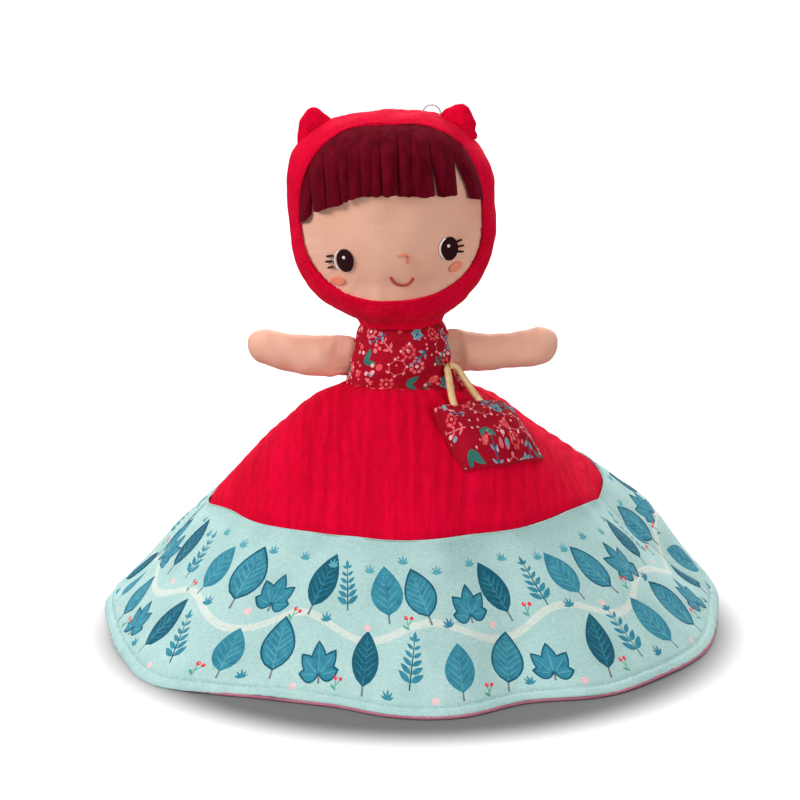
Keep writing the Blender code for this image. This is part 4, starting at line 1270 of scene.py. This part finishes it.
def make_fringe(doll, mat):
    """Cut locks of fleece, each its own soft strip, tucked in at the top under the hood's edge."""
    size = doll["half"] / UPPER["half"]
    locks = []
    for index, (top_a, top_b, foot_a, foot_b, low_a, low_b, stand) in enumerate(LOCKS):
        def place(along, down):
            top = (top_a + (top_b - top_a) * along) * MM * size
            foot = (foot_a + (foot_b - foot_a) * along) * MM * size
            x = top + (foot - top) * smooth_step(down) ** 1.3
            share = np.clip(np.abs(top) / (doll["half"] * OPENING_WIDTH_SHARE), 0, 0.999)
            arch = (1 - share**OPENING_POWER) ** (1 / OPENING_POWER)
            high = doll["centre"] + doll["rise"] * OPENING_RISE_SHARE * arch
            nick = 0.5 * np.sin(along * 9 + index * 2.1) + 0.25 * np.sin(along * 23 + index)
            low = doll["centre"] + (low_a + (low_b - low_a) * along + nick * 0.45) * MM * size
            z = high + 0.001 + (low - high - 0.001) * down
            points = front_point(doll, x, z, -FACE_SET_BACK)
            bow = 0.0017 * np.sin(math.pi * along) * (0.5 + down)
            curl = 0.0009 * down**2 * math.sin(index * 1.7) * (along - 0.5) * 2
            swing = 0.0008 * np.sin(down * 4 + index * 1.3) * down
            layer = (0.2 + 0.9 * (index % 2)) * MM if index else 0.0
            off = layer * smooth_step(down * 3) + stand * MM * 0.7 * smooth_step(down * 2.2)
            tucked = 0.0017 * smooth_step(down * 14) - 0.0006
            points[:, 1] -= tucked + off + bow * smooth_step(down * 6) + curl + swing * 0.5
            return points

        lock = grid("lock", 12, 30, place, [MATS[mat]])
        points_out(lock, FORWARD)
        thicken(lock, FRINGE_THICKNESS, 0.0)
        bevel_like_cloth(lock)
        locks.append(lock)
    fringe = join(doll["prefix"] + "fringe_locks", locks)
    fringe.data.transform(seat(doll))
    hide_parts(doll["prefix"] + "fringe")
    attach(fringe, doll["prefix"] + "head")


def bevel_like_cloth(item):
    """Round the cut edges of thick cloth a little."""
    modifier = item.modifiers.new("round", "SUBSURF")
    modifier.levels = 1
    modifier.render_levels = 1
    bake(item)


def head_patch(doll, name, x, z, half_x, half_z, tilt, dome, mat):
    """Satin-stitched oval on the face; places and sizes in millimetres from the head's middle."""
    size = doll["half"] / UPPER["half"]

    def place(around, out):
        turn = around * math.tau
        a = half_x * out * np.cos(turn)
        b = half_z * out * np.sin(turn)
        px = (x + a * math.cos(tilt) - b * math.sin(tilt)) * MM * size
        pz = (z + a * math.sin(tilt) + b * math.cos(tilt)) * MM * size + doll["centre"]
        points = front_point(doll, px, pz, -FACE_SET_BACK)
        points[:, 1] -= 0.0009 + dome * MM * np.sqrt(np.clip(1 - out**2, 0, 1))
        return points

    patch = grid(name, 48, 10, place, [MATS[mat]], closed=True)
    weld(patch)
    points_out(patch, FORWARD)
    return thicken(patch, 0.0006)


def head_thread(doll, name, path, radius, mat):
    """Line of thread on the face; places and radius in millimetres from the head's middle."""
    size = doll["half"] / UPPER["half"]
    x = np.array([p[0] for p in path]) * MM * size
    z = np.array([p[1] for p in path]) * MM * size + doll["centre"]
    points = front_point(doll, x, z, -FACE_SET_BACK)
    points[:, 1] -= 0.0012
    return tube(name, points, radius * MM, [MATS[mat]], sides=3)


# Eyes in millimetres from the head's middle: place, half width and height, lean, glint, the points of the
# white rim, and the two ends of each lash
EYES = (
    (
        "right", -23.0, -16.6, 4.15, 5.9, math.radians(4), (-23.6, -15.0),
        ((-25.9, -11.6), (-27.6, -13.8), (-28.0, -16.9), (-27.4, -19.8), (-26.0, -21.6)),
        (
            ((-28.9, -14.3), (-31.9, -15.0)),
            ((-29.4, -17.2), (-32.5, -17.9)),
            ((-29.1, -20.0), (-31.5, -21.0)),
        ),
    ),
    (
        "left", 27.3, -13.3, 4.05, 6.0, math.radians(-2), (26.8, -11.7),
        ((25.4, -7.6), (23.4, -9.2), (22.4, -12.4), (22.9, -15.8), (24.4, -18.2)),
        (
            ((30.4, -10.5), (33.2, -9.6)),
            ((30.8, -12.9), (34.0, -12.7)),
            ((30.5, -15.2), (33.7, -15.8)),
        ),
    ),
)
# Place and lean of each cheek, and the half width and height of both
CHEEKS = (("right", -27.4, -27.8, -0.04), ("left", 30.0, -23.2, 0.45))
CHEEK_HALVES = (3.5, 2.15)
NOSE = ((3.0, -14.6), (4.4, -13.9), (6.4, -13.9), (7.6, -15.2), (7.4, -16.8), (7.0, -18.4))
SMILE = ((-1.3, -25.0), (-0.4, -27.4), (1.6, -29.2), (4.2, -29.9), (6.8, -29.3), (8.6, -27.7), (9.4, -26.2))


def make_features(doll):
    """Embroidered eyes with lashes and glints, cheeks, nose and smile."""
    prefix = doll["prefix"]
    pieces = []
    for word, x, z, half_x, half_z, tilt, glint, rim, lashes in EYES:
        made = [head_patch(doll, "oval", x, z, half_x, half_z, tilt, 0.35, "eye")]
        made.append(head_patch(doll, "glint", glint[0], glint[1], 0.95, 1.0, 0.0, 0.55, "white"))
        made.append(head_thread(doll, "rim", rim, 0.42, "white"))
        for lash in lashes:
            made.append(head_thread(doll, "lash", lash, 0.5, "eye"))
        eye = join(prefix + "eye_embroidery_" + word, made)
        pieces.append((eye, prefix + "eye_" + word, "eye_thread"))
    for word, x, z, tilt in CHEEKS:
        name = prefix + "cheek_embroidery_" + word
        cheek = head_patch(doll, name, x, z, *CHEEK_HALVES, tilt, 0.12, "cheek")
        pieces.append((cheek, prefix + "cheek_" + word, "cheek_thread"))
    nose = head_thread(doll, prefix + "nose_stitch", NOSE, 0.5, "nose")
    pieces.append((nose, prefix + "nose", "cheek_thread"))
    smile = head_thread(doll, prefix + "mouth_stitch", SMILE, 0.62, "mouth")
    pieces.append((smile, prefix + "mouth", "mouth_thread"))
    for piece, node, slot in pieces:
        piece.data.transform(seat(doll))
        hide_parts(node)
        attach(piece, prefix + "head")


# Each ear's side and name, inner and outer half width, height and lean, its foot's place across, and the
# powers that round its outline
EARS = (
    (-1, "right", 0.0120, 0.0132, 0.0192, 0.0047, 0.0315, 1.5, 0.65),
    (1, "left", 0.0140, 0.0106, 0.0178, 0.0030, 0.0322, 1.9, 0.58),
)


def make_ears(doll):
    """Small rounded stuffed ears, wide at the foot, set into the seam over the crown."""
    for side, word, half_in, half_out, tall, lean, across, curve, fall in EARS:
        foot = Vector((side * across, 0.003, doll["centre"] + 0.0335))

        def place(around, up):
            turn = around * math.tau
            half = np.where(np.cos(turn) * side > 0, half_out, half_in)
            width = half * (1 - up**curve) ** fall
            thick = 0.0060 * (1 - up**2.4) ** 0.55
            out = np.sign(np.cos(turn)) * np.abs(np.cos(turn)) ** 0.9 * width
            deep = np.sin(turn) * thick
            pinch = 0.0012 * peak(up, 0.45, 0.3) * peak(np.cos(turn), 0, 0.4)
            deep = deep - np.sign(np.sin(turn)) * pinch
            aside = foot.x + out + side * lean * up**1.2
            return np.stack((aside, foot.y + deep, foot.z + tall * up), axis=-1)

        ear = grid("ear_form_" + word, 48, 30, place, [], closed=True, flip=True)
        cap_ends(ear)
        resurface(ear, EAR_VOXEL, SMOOTHING_STEPS)
        points = coordinates(ear.data)
        square = normals(ear.data)
        lift = 0.0003 * ripple(points, 0.006, 51 + side)
        set_coordinates(ear.data, points + square * lift[:, None])
        ear.data.materials.append(MATS["hood"])
        ear.data.transform(seat(doll))
        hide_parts("ear_" + word)
        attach(ear, "head")


def make_hang_loop(doll):
    """Fine thread loop on the crown."""
    middle = 0.0214
    points = []
    for step in range(15):
        turn = math.pi * (step / 14 * 1.3 - 0.15)
        up = doll["rise"] - 0.0022 + 0.0037 * math.sin(turn)
        points.append((middle + 0.0042 * math.cos(turn), 0.0, doll["centre"] + up))
    loop = tube("crown_loop", apply_matrix(seat(doll), np.array(points)), 0.00028, [MATS["loop"]], sides=2)
    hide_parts("hang_loop")
    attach(loop, "head")


# Bodies and arms

CHEST_FOOT = 0.0255
BODICE_THICKNESS = 0.0008
# The bodice's cloth, in millimetres: its width, and how much of it stays plain under the hood
BODICE_WIDTH = 150.0
COLLAR_PLAIN = 24.0
# Where the bodice's foot slumps over the waist seam
SLUMP_AZIMUTH = math.radians(-22)
WINE_INKS = ("print_pink", "print_pale", "print_blue", "print_ink", "print_green", "print_coral")
ROSE_INKS = ("print_pale", "cream", "print_blue", "print_ink", "green", "print_coral")


def bodice_half(doll, height):
    """Half width of the stuffed chest at a height above the doll's waist."""
    share = smooth_step(height / (doll["pivot"] + doll["ball"] * 0.5))
    return CHEST_FOOT + (doll["chest"] - CHEST_FOOT) * share


def bodice_profile(doll):
    """Heights and half widths up the side of a stuffed chest, to the ball that the head turns on."""
    start = math.acos(min(doll["chest"] / doll["ball"], 1.0))
    collar = doll["pivot"] + doll["ball"] * math.sin(start)
    heights = list(np.linspace(0.0002, collar, 12)[:-1])
    halves = [float(bodice_half(doll, h)) for h in heights]
    for turn in np.linspace(start, math.pi / 2 * 0.97, 14):
        height = doll["pivot"] + doll["ball"] * math.sin(turn)
        heights.append(height)
        halves.append(min(float(bodice_half(doll, height)), doll["ball"] * math.cos(turn)))
    return np.array(heights), np.array(halves)


def make_bodice(doll, inks, ground):
    """Printed, stuffed chest with side seams and soft creases at waist and arms."""
    heights, halves = bodice_profile(doll)
    steps = np.hypot(np.diff(heights), np.diff(halves))
    length = np.concatenate(((0,), np.cumsum(steps)))
    name = doll["prefix"] + "bodice_cloth"

    def place(across, up):
        turn = across * math.tau + math.pi / 2
        along = up * length[-1]
        height = np.interp(along, length, heights)
        half = np.interp(along, length, halves)
        depth = WAIST_DEPTH_SHARE + (0.97 - WAIST_DEPTH_SHARE) * smooth_step(height / doll["pivot"])
        flat = np.stack((turn * 0.024, height), axis=-1)
        crease = 0.00035 * ripple(flat, 0.012, 61) + 0.0005 * np.sin(turn * 23) * np.exp(-height / 0.004)
        side = peak(np.abs(np.cos(turn)), 1, 0.01) * 0.0002
        full = 0.0007 * peak(height, 0.012, 0.010)
        half = half + (crease - side + full) * smooth_step((length[-1] - along) / 0.01)
        aside = neck_aside(doll, height)
        slump = peak(turn_between(turn, SLUMP_AZIMUTH), 0, 0.6) * peak(height, 0, 0.0078)
        half = half + doll["slump"] * slump
        height = height - 0.12 * doll["slump"] * slump
        return np.stack((half * np.cos(turn) + aside, half * depth * np.sin(turn), height), axis=-1)

    tall = float(length[-1]) / MM
    shapes = print_motifs(BODICE_WIDTH, tall - COLLAR_PLAIN, 17 if doll is UPPER else 23, inks)
    bodice = printed(name, BODICE_WIDTH, tall, 2.0, shapes, place, BODICE_THICKNESS, ground)
    bodice.data.transform(seat(doll, lean=False))
    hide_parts(doll["prefix"] + "bodice")
    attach(bodice, "torso")


def berry_ring(radius, ink, heart):
    """Wreath of round berries about a small heart."""
    shapes = [(heart, disc(0, 0, radius * 0.26, 8))]
    for k in range(8):
        angle = math.tau * k / 8
        x = radius * 0.78 * math.cos(angle)
        y = radius * 0.78 * math.sin(angle)
        shapes.append((ink, disc(x, y, radius * 0.27, 8)))
    return shapes


def dotted_ring(radius, line, dot):
    """Thin ring with a dot at each of its corners."""
    shapes = []
    for k in range(7):
        first = math.tau * k / 7
        after = math.tau * (k + 1) / 7
        x = radius * math.sin(first)
        y = radius * math.cos(first)
        shapes.append((line, bar(x, y, radius * math.sin(after), radius * math.cos(after), 0.25)))
        shapes.append((dot, disc(x * 1.12, y * 1.12, 0.5, 8)))
    return shapes


def leaf_pair(length, width, ink):
    """Two leaves that spread from one point."""
    shapes = []
    for angle, share in ((0.55, 1.0), (-0.6, 0.8)):
        shapes += turned([(ink, leaf_outline(length * share, width * share, 8))], 0, 0, angle)
    return shapes


def print_motifs(width, height, seed, inks, size=1.0):
    """Small scattered flowers, sprigs and berries on a loose lattice."""
    pink, pale, blue, ink, green, coral = inks
    source = np.random.default_rng(seed)
    kinds = (
        lambda: blossom(2.9, 6, blue, ink, ink),
        lambda: frond(8.6, 3, pink, pink),
        lambda: berry_ring(2.7, pink, pale),
        lambda: berry_ring(2.4, coral, pink),
        lambda: frond(9.0, 4, green, green),
        lambda: leaf_pair(5.2, 2.2, green),
        lambda: frond(7.4, 3, blue, ink),
        lambda: [(coral, disc(0, 0, 1.2)), (pale, disc(2.4, 1.0, 0.8, 8)), (pale, disc(0.6, 2.6, 0.8, 8))],
        lambda: turned([(coral, leaf_outline(4.2, 2.4, 6))], 0, 0, 0.4),
        lambda: [(pink, disc(0, 0, 0.9, 8)), (pink, disc(2.0, 0.4, 0.7, 8)), (pink, disc(1.0, 1.9, 0.7, 8))],
        lambda: dotted_ring(3.4, pink, pale),
        lambda: [(pink, disc(0, 0, 0.9, 8)), (blue, disc(2.4, 0.6, 0.9, 8)), (pale, disc(1.2, 2.4, 0.8, 8))],
    )
    size = size * 1.4
    pitch = 6.6 * size
    shapes = []
    rows = int(height / pitch) + 2
    columns = int(width / pitch) + 2
    for row in range(rows):
        for column in range(columns):
            x = (column + 0.5 * (row % 2)) * pitch + source.uniform(-0.9, 0.9)
            y = (row - 0.3) * pitch * 0.88 + source.uniform(-0.9, 0.9)
            kind = kinds[(column * 3 + row * 5 + int(source.integers(0, 2))) % len(kinds)]
            shapes += turned(kind(), x, y, source.uniform(0, math.tau), size * source.uniform(0.85, 1.1))
    for _ in range(int(width * height / 34)):
        x = source.uniform(0, width)
        y = source.uniform(0, height)
        shapes.append((pale if source.uniform() < 0.3 else pink, disc(x, y, source.uniform(0.55, 0.85), 8)))
    return shapes


def shoulder(doll, side):
    """Where an arm's middle line meets the side of the chest."""
    half = float(bodice_half(doll, doll["shoulder"]))
    return Vector((side * (half + doll["arm_radius"] * SHOULDER_OUT_SHARE), 0, doll["shoulder"]))


# How each arm of the upper doll is filled: at the root, near the middle and near the tip, the share along
# the arm, how far its middle line is off the straight one, and its radius as a share of the arm's
ARM_FILLS = {
    1: ((0.0, 0.0024, 1.19), (0.45, -0.0004, 0.98), (0.9, -0.0003, 1.03)),
    -1: ((0.0, -0.0004, 1.13), (0.40, -0.0019, 1.075), (0.9, -0.0005, 1.00)),
}
PLAIN_FILL = ((0.0, 0.0, 1.0), (0.5, 0.0, 0.88), (0.9, 0.0, 0.88))
# The doll's right arm is bent a little at its tip, so it reaches less far
ARM_SHORTER = {1: -0.0005, -1: 0.0042}
INNER_ARM_SHORTER = 0.0025


def make_arm(doll, side, word):
    """Stuffed arm of skin-coloured jersey with a seam round its edge and a mitten end."""
    radius = doll["arm_radius"]
    upper = doll is UPPER
    length = doll["arm_length"] - (ARM_SHORTER[side] if upper else INNER_ARM_SHORTER)
    span = length + 2 * radius
    shares, offsets, fills = zip(*(ARM_FILLS[side] if upper else PLAIN_FILL))
    offset_curve = np.polyfit(shares, offsets, 2)
    fill_curve = np.polyfit(shares, fills, 2)

    def place(around, along):
        turn = around * math.tau
        s = along * span - radius
        root = np.clip(1 - np.clip(-s / radius, 0, 1) ** 4, 0, 1) ** 0.4
        tip = np.sqrt(np.clip(1 - np.clip((s - length + 0.3 * radius) / (1.3 * radius), 0, 1) ** 2.3, 0, 1))
        share = np.clip(s / length, 0, 1)
        full = radius * np.polyval(fill_curve, share)
        closed = np.minimum(root, tip)
        flat = np.stack((np.cos(turn) * 0.006, np.sin(turn) * 0.006, s), axis=-1)
        gather = 0.0005 * peak(s / radius, -0.15, 0.35) * np.sin(9 * turn + 2 * np.sin(3 * turn))
        fold = 0.0003 * peak(share, 0.12, 0.09) * np.sin(s / 0.0015 + 2.5 * np.sin(turn))
        crease = 0.0003 * ripple(flat, 0.011, 71 + side) + fold
        seam = peak(np.sin(turn / 2), 0, 0.05) + peak(np.cos(turn / 2), 0, 0.05)
        body = (full + crease + gather - 0.0004 * seam) * closed
        line = np.polyval(offset_curve, share) + 0.25 * full * (1 - tip)
        deep = 0.45 + 0.51 * smooth_step((s + 0.3 * radius) / (1.5 * radius))
        return np.stack((s, body * np.sin(turn) * deep, body * np.cos(turn) + line), axis=-1)

    arm = grid(doll["prefix"] + "arm_form_" + word, 72, 110, place, [MATS["skin"]], closed=True, flip=True)
    weld(arm)
    facing = Matrix.Scale(-1, 4, (1, 0, 0)) if side < 0 else Matrix.Identity(4)
    aim = Matrix.Rotation(-doll["arm_raise"], 4, "Y")
    arm.data.transform(seat(doll, lean=False) @ Matrix.Translation(shoulder(doll, side)) @ facing @ aim)
    if side < 0:
        arm.data.flip_normals()
    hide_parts(doll["prefix"] + "arm_" + word)
    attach(arm, doll["prefix"] + "arm_" + word)


# Bag

BAG_AZIMUTH = math.radians(-49)
BAG_SLOPE = math.radians(44)
BAG_TOP = Vector((0.02406, -0.01481, 0.1285))
BAG_WIDTH = 0.0560
BAG_HEIGHT = 0.034
BAG_ASIDE = 0.0013
BAG_DROP = 0.026
BAG_FOOT_SHARE = 0.886
BAG_FOOT_ASIDE = -0.0014
BAG_THICKNESS = 0.0009
# How far the bag's upper left corner stands in and proud of the cloth, and how far up its corners are drawn
BAG_CORNER_IN = 0.0050
BAG_CORNER_PROUD = 0.0022
BAG_LEFT_UP = 0.0048
BAG_RIGHT_UP = 0.0028
BAG_FOOT_UP = 0.0034
# Where the seam runs on the panel, in shares of its width and height
BAG_SEAM_SHARES = (
    (0.0, 1.0), (0.0, 0.66), (0.0, 0.33), (0.0, 0.0), (0.25, 0.0), (0.5, 0.0), (0.75, 0.0), (1.0, 0.0),
    (1.0, 0.33), (1.0, 0.66), (1.0, 1.0),
)
# Half the distance between the handle's feet at each side, the radius of its bend and of its cord
HANDLE_LEFT = 0.0101
HANDLE_RIGHT = 0.0070
HANDLE_BEND = 0.0034
HANDLE_ASIDE = 0.0020
HANDLE_RADIUS = 0.0017


def skirt_top(x, y):
    """Height of the outer cloth over a place near the waist."""
    radius = np.hypot(x, y)
    azimuth = np.arctan2(y, x)
    for _ in range(12):
        point = skirt_point(azimuth, radius)
        azimuth = azimuth + np.arctan2(y, x) - np.arctan2(point[:, 1], point[:, 0])
        radius = radius + np.hypot(x, y) - np.hypot(point[:, 0], point[:, 1])
    return profile_height(radius) + swell_height(azimuth, radius)


def bag_axes():
    """The bag's top, and its directions across, outward from the doll and down the skirt."""
    out = np.array((math.cos(BAG_AZIMUTH), math.sin(BAG_AZIMUTH), 0.0))
    across = np.array((-math.sin(BAG_AZIMUTH), math.cos(BAG_AZIMUTH), 0.0))
    down = out * math.cos(BAG_SLOPE) - np.array((0, 0, math.sin(BAG_SLOPE)))
    return np.array(BAG_TOP), across, out, down


def make_bag():
    """Flat little pouch that lies on the skirt, its front panel slightly full."""
    top, across, out, down = bag_axes()

    def panel(lift, bulge):
        def place(along, up):
            lower = 1 - up
            width = BAG_WIDTH * (1 - (1 - BAG_FOOT_SHARE) * lower)
            left_corner = smooth_step((0.32 - along) / 0.32) * up**2
            right_corner = smooth_step((along - 0.68) / 0.32) * up**2
            x = BAG_ASIDE + BAG_FOOT_ASIDE * lower + width * (along - 0.5) + BAG_CORNER_IN * left_corner
            left_foot = smooth_step((0.5 - along) / 0.5) * lower**2
            fall = BAG_DROP + BAG_HEIGHT * lower
            fall = fall - BAG_LEFT_UP * left_corner - BAG_RIGHT_UP * right_corner - BAG_FOOT_UP * left_foot
            points = top + x[:, None] * across + fall[:, None] * down
            edge = np.minimum(np.minimum(along, 1 - along) * BAG_WIDTH, up * BAG_HEIGHT)
            full = smooth_step(edge / 0.009) * (1 - 0.35 * smooth_step((up - 0.6) / 0.4))
            mouth = 0.3 * smooth_step((up - 0.7) / 0.3)
            sag = 0.0030 * (1 - (2 * along - 1) ** 2) * lower**2
            waves = 0.0004 * ripple(np.stack((along * 0.05, lower * 0.034), axis=-1), 0.012, 81)
            hem = 0.0005 * peak(up, 0.93, 0.02)
            rise = lift + bulge * np.maximum(full, mouth) + waves * full - hem
            points += sag[:, None] * down
            level = skirt_top(points[:, 0], points[:, 1])
            points[:, 2] = level + rise * 1.35 + BAG_CORNER_PROUD * left_corner
            return points

        return place

    wide = BAG_WIDTH / MM
    tall = BAG_HEIGHT / MM
    motifs = print_motifs(wide, tall, 29, WINE_INKS, 1.15)
    front = printed("bag_front_cloth", wide, tall, 1.5, motifs, panel(0.0026, 0.0042), BAG_THICKNESS, "wine")
    back = grid("bag_back_cloth", 40, 30, panel(0.0017, 0.0), [MATS["wine"]], flip=True)
    points_out(back, Vector((0, 0, 1)))
    thicken(back, BAG_THICKNESS)
    route = []
    for (a0, b0), (a1, b1) in zip(BAG_SEAM_SHARES, BAG_SEAM_SHARES[1:]):
        for step in range(6):
            route.append((a0 + (a1 - a0) * step / 6, b0 + (b1 - b0) * step / 6))
    route.append(BAG_SEAM_SHARES[-1])
    flat = np.array(route)
    seam = panel(0.0021, 0.0)(flat[:, 0], flat[:, 1])
    piping = tube("bag_side_seam", seam, 0.0006, [MATS["wine"]], sides=3)
    for piece, node in ((front, "bag_front"), (back, "bag_back"), (piping, None)):
        if node:
            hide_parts(node)
        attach(piece, "bag")
    make_handle(top, across, out, down)


def make_handle(top, across, out, down):
    """Pale waxed cord: one arch with both feet sewn inside the bag's mouth."""
    path = [(-HANDLE_LEFT - 0.0004, BAG_DROP + 0.003), (-HANDLE_LEFT, BAG_DROP - 0.004)]
    for step in range(13):
        turn = math.pi * (1 - step / 12)
        path.append((HANDLE_BEND * math.cos(turn) + HANDLE_ASIDE, HANDLE_BEND * (1 - math.sin(turn))))
    path += [(HANDLE_RIGHT, BAG_DROP - 0.004), (HANDLE_RIGHT + 0.0004, BAG_DROP + 0.003)]
    flat = np.array(path)
    points = top + flat[:, :1] * across + flat[:, 1:] * down
    for end in (0, 1, -1, -2):
        level = skirt_top(points[[end], 0], points[[end], 1])[0]
        points[end, 2] = max(points[end, 2], level + 0.0045)
    handle = tube("handle_cord_arch", points, HANDLE_RADIUS, [MATS["cord"]], sides=5)
    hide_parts("bag_handle")
    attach(handle, "bag")
    centre = top - out * 0.0012
    ring = []
    for step in range(16):
        turn = math.tau * step / 16
        ring.append(centre + out * 0.0034 * math.cos(turn) + np.array((0, 0, 0.0024 * math.sin(turn))))
    tack = tube("handle_tack", ring, 0.00028, [MATS["seam_red"]], sides=3, cyclic=True)
    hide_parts("bag_tack")
    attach(tack, "torso")


# Studio

WORLD_LIGHT = 0.37
# Each light's name, place, what it points at, size and power
LIGHTS = (
    ("key", (-1.40, -0.55, 0.85), (0, 0, 0.12), 0.7, 20.5),
    ("top", (0.0, 0.42, 1.25), (0, 0, 0.1), 0.5, 6),
    ("fill", (0.85, -1.30, 0.25), (0, 0, 0.14), 0.9, 12.5),
    ("back", (0.25, 1.15, 0.75), (0, 0, 0.05), 0.8, 13),
)
# The floor's size, its shade, the oval of painted shadow round the doll, and its glow to the camera inside
# and outside
FLOOR_SIZE = 6
FLOOR_GREY = 0.18
SHADOW_PLACE = (0.010, -0.032, 0)
SHADOW_STRETCH = (1.09, 1, 1)
SHADOW_FADE = (0.127, 0.158)
FLOOR_GLOW = (0.0, 0.95)


def white_surface(name):
    """Matt grey that keeps the doll's real shadow and glows white to the camera further out; the dark oval
    near the doll, where it glows less, is a painted shadow.
    """
    material = bpy.data.materials.new(name)
    material.use_nodes = True
    tree = material.node_tree
    shader = tree.nodes["Principled BSDF"]
    shader.inputs["Base Color"].default_value = (FLOOR_GREY, FLOOR_GREY, FLOOR_GREY, 1)
    shader.inputs["Roughness"].default_value = 0.9
    shader.inputs["Specular IOR Level"].default_value = 0.1
    rays = tree.nodes.new("ShaderNodeLightPath")
    scale = tree.nodes.new("ShaderNodeMath")
    scale.operation = "MULTIPLY"
    place = tree.nodes.new("ShaderNodeTexCoord")
    reach = tree.nodes.new("ShaderNodeVectorMath")
    reach.operation = "LENGTH"
    tree.links.new(place.outputs["Object"], reach.inputs[0])
    # Glow to the camera that grows away from the oval's middle: the dark oval near the doll is a painted
    # shadow
    spread = tree.nodes.new("ShaderNodeMapRange")
    spread.interpolation_type = "SMOOTHSTEP"
    for socket, value in zip(("From Min", "From Max", "To Min", "To Max"), SHADOW_FADE + FLOOR_GLOW):
        spread.inputs[socket].default_value = value
    tree.links.new(reach.outputs["Value"], spread.inputs["Value"])
    tree.links.new(rays.outputs["Is Camera Ray"], scale.inputs[0])
    tree.links.new(spread.outputs["Result"], scale.inputs[1])
    shader.inputs["Emission Color"].default_value = (1, 1, 1, 1)
    tree.links.new(scale.outputs[0], shader.inputs["Emission Strength"])
    return material


def area_light(name, place, target, size, power):
    data = bpy.data.lights.new(name, "AREA")
    data.shape = "DISK"
    data.size = size
    data.energy = power
    item = bpy.data.objects.new(name, data)
    item.location = place
    item.rotation_euler = (Vector(target) - Vector(place)).to_track_quat("-Z", "Y").to_euler()
    bpy.context.scene.collection.objects.link(item)


def make_studio():
    """Floor, surroundings, lights and camera."""
    bm = bmesh.new()
    bmesh.ops.create_grid(bm, x_segments=1, y_segments=1, size=FLOOR_SIZE)
    mesh = bpy.data.meshes.new("floor")
    bm.to_mesh(mesh)
    bm.free()
    floor = link("floor", mesh, [white_surface("floor_white")])
    floor.location = SHADOW_PLACE
    floor.scale = SHADOW_STRETCH
    world = bpy.data.worlds.new("studio")
    bpy.context.scene.world = world
    world.use_nodes = True
    tree = world.node_tree
    back = tree.nodes["Background"]
    back.inputs["Color"].default_value = (1, 1, 1, 1)
    rays = tree.nodes.new("ShaderNodeLightPath")
    level = tree.nodes.new("ShaderNodeMix")
    level.data_type = "FLOAT"
    level.inputs["A"].default_value = WORLD_LIGHT
    level.inputs["B"].default_value = 1.0
    tree.links.new(rays.outputs["Is Camera Ray"], level.inputs["Factor"])
    tree.links.new(level.outputs["Result"], back.inputs["Strength"])
    for light in LIGHTS:
        area_light(*light)
    data = bpy.data.cameras.new("camera")
    data.lens = CAMERA_LENS
    data.sensor_width = 36
    data.clip_start = 0.05
    camera = bpy.data.objects.new("camera", data)
    camera.location = CAMERA_PLACE
    camera.rotation_euler = (CAMERA_PITCH, 0, 0)
    bpy.context.scene.collection.objects.link(camera)
    bpy.context.scene.camera = camera
    bpy.context.scene.view_settings.view_transform = "Standard"


make_studio()
make_red_skirt()
make_band()
make_lining()
make_hem()
make_skirt_stitches()
make_hood(UPPER, "hood_form", "hood", "hood")
make_hood(LOWER, "bonnet_form", "inner_bonnet", "bonnet")
make_ears(UPPER)
make_hang_loop(UPPER)
for doll, hair, hair_slot in ((UPPER, "hair", "hair_cloth"), (LOWER, "inner_hair", "inner_hair")):
    make_face(doll)
    make_fringe(doll, hair)
    make_features(doll)
make_bodice(UPPER, WINE_INKS, "wine")
make_bodice(LOWER, ROSE_INKS, "rose")
for doll in (UPPER, LOWER):
    for side, word in ((-1, "right"), (1, "left")):
        make_arm(doll, side, word)
make_bag()
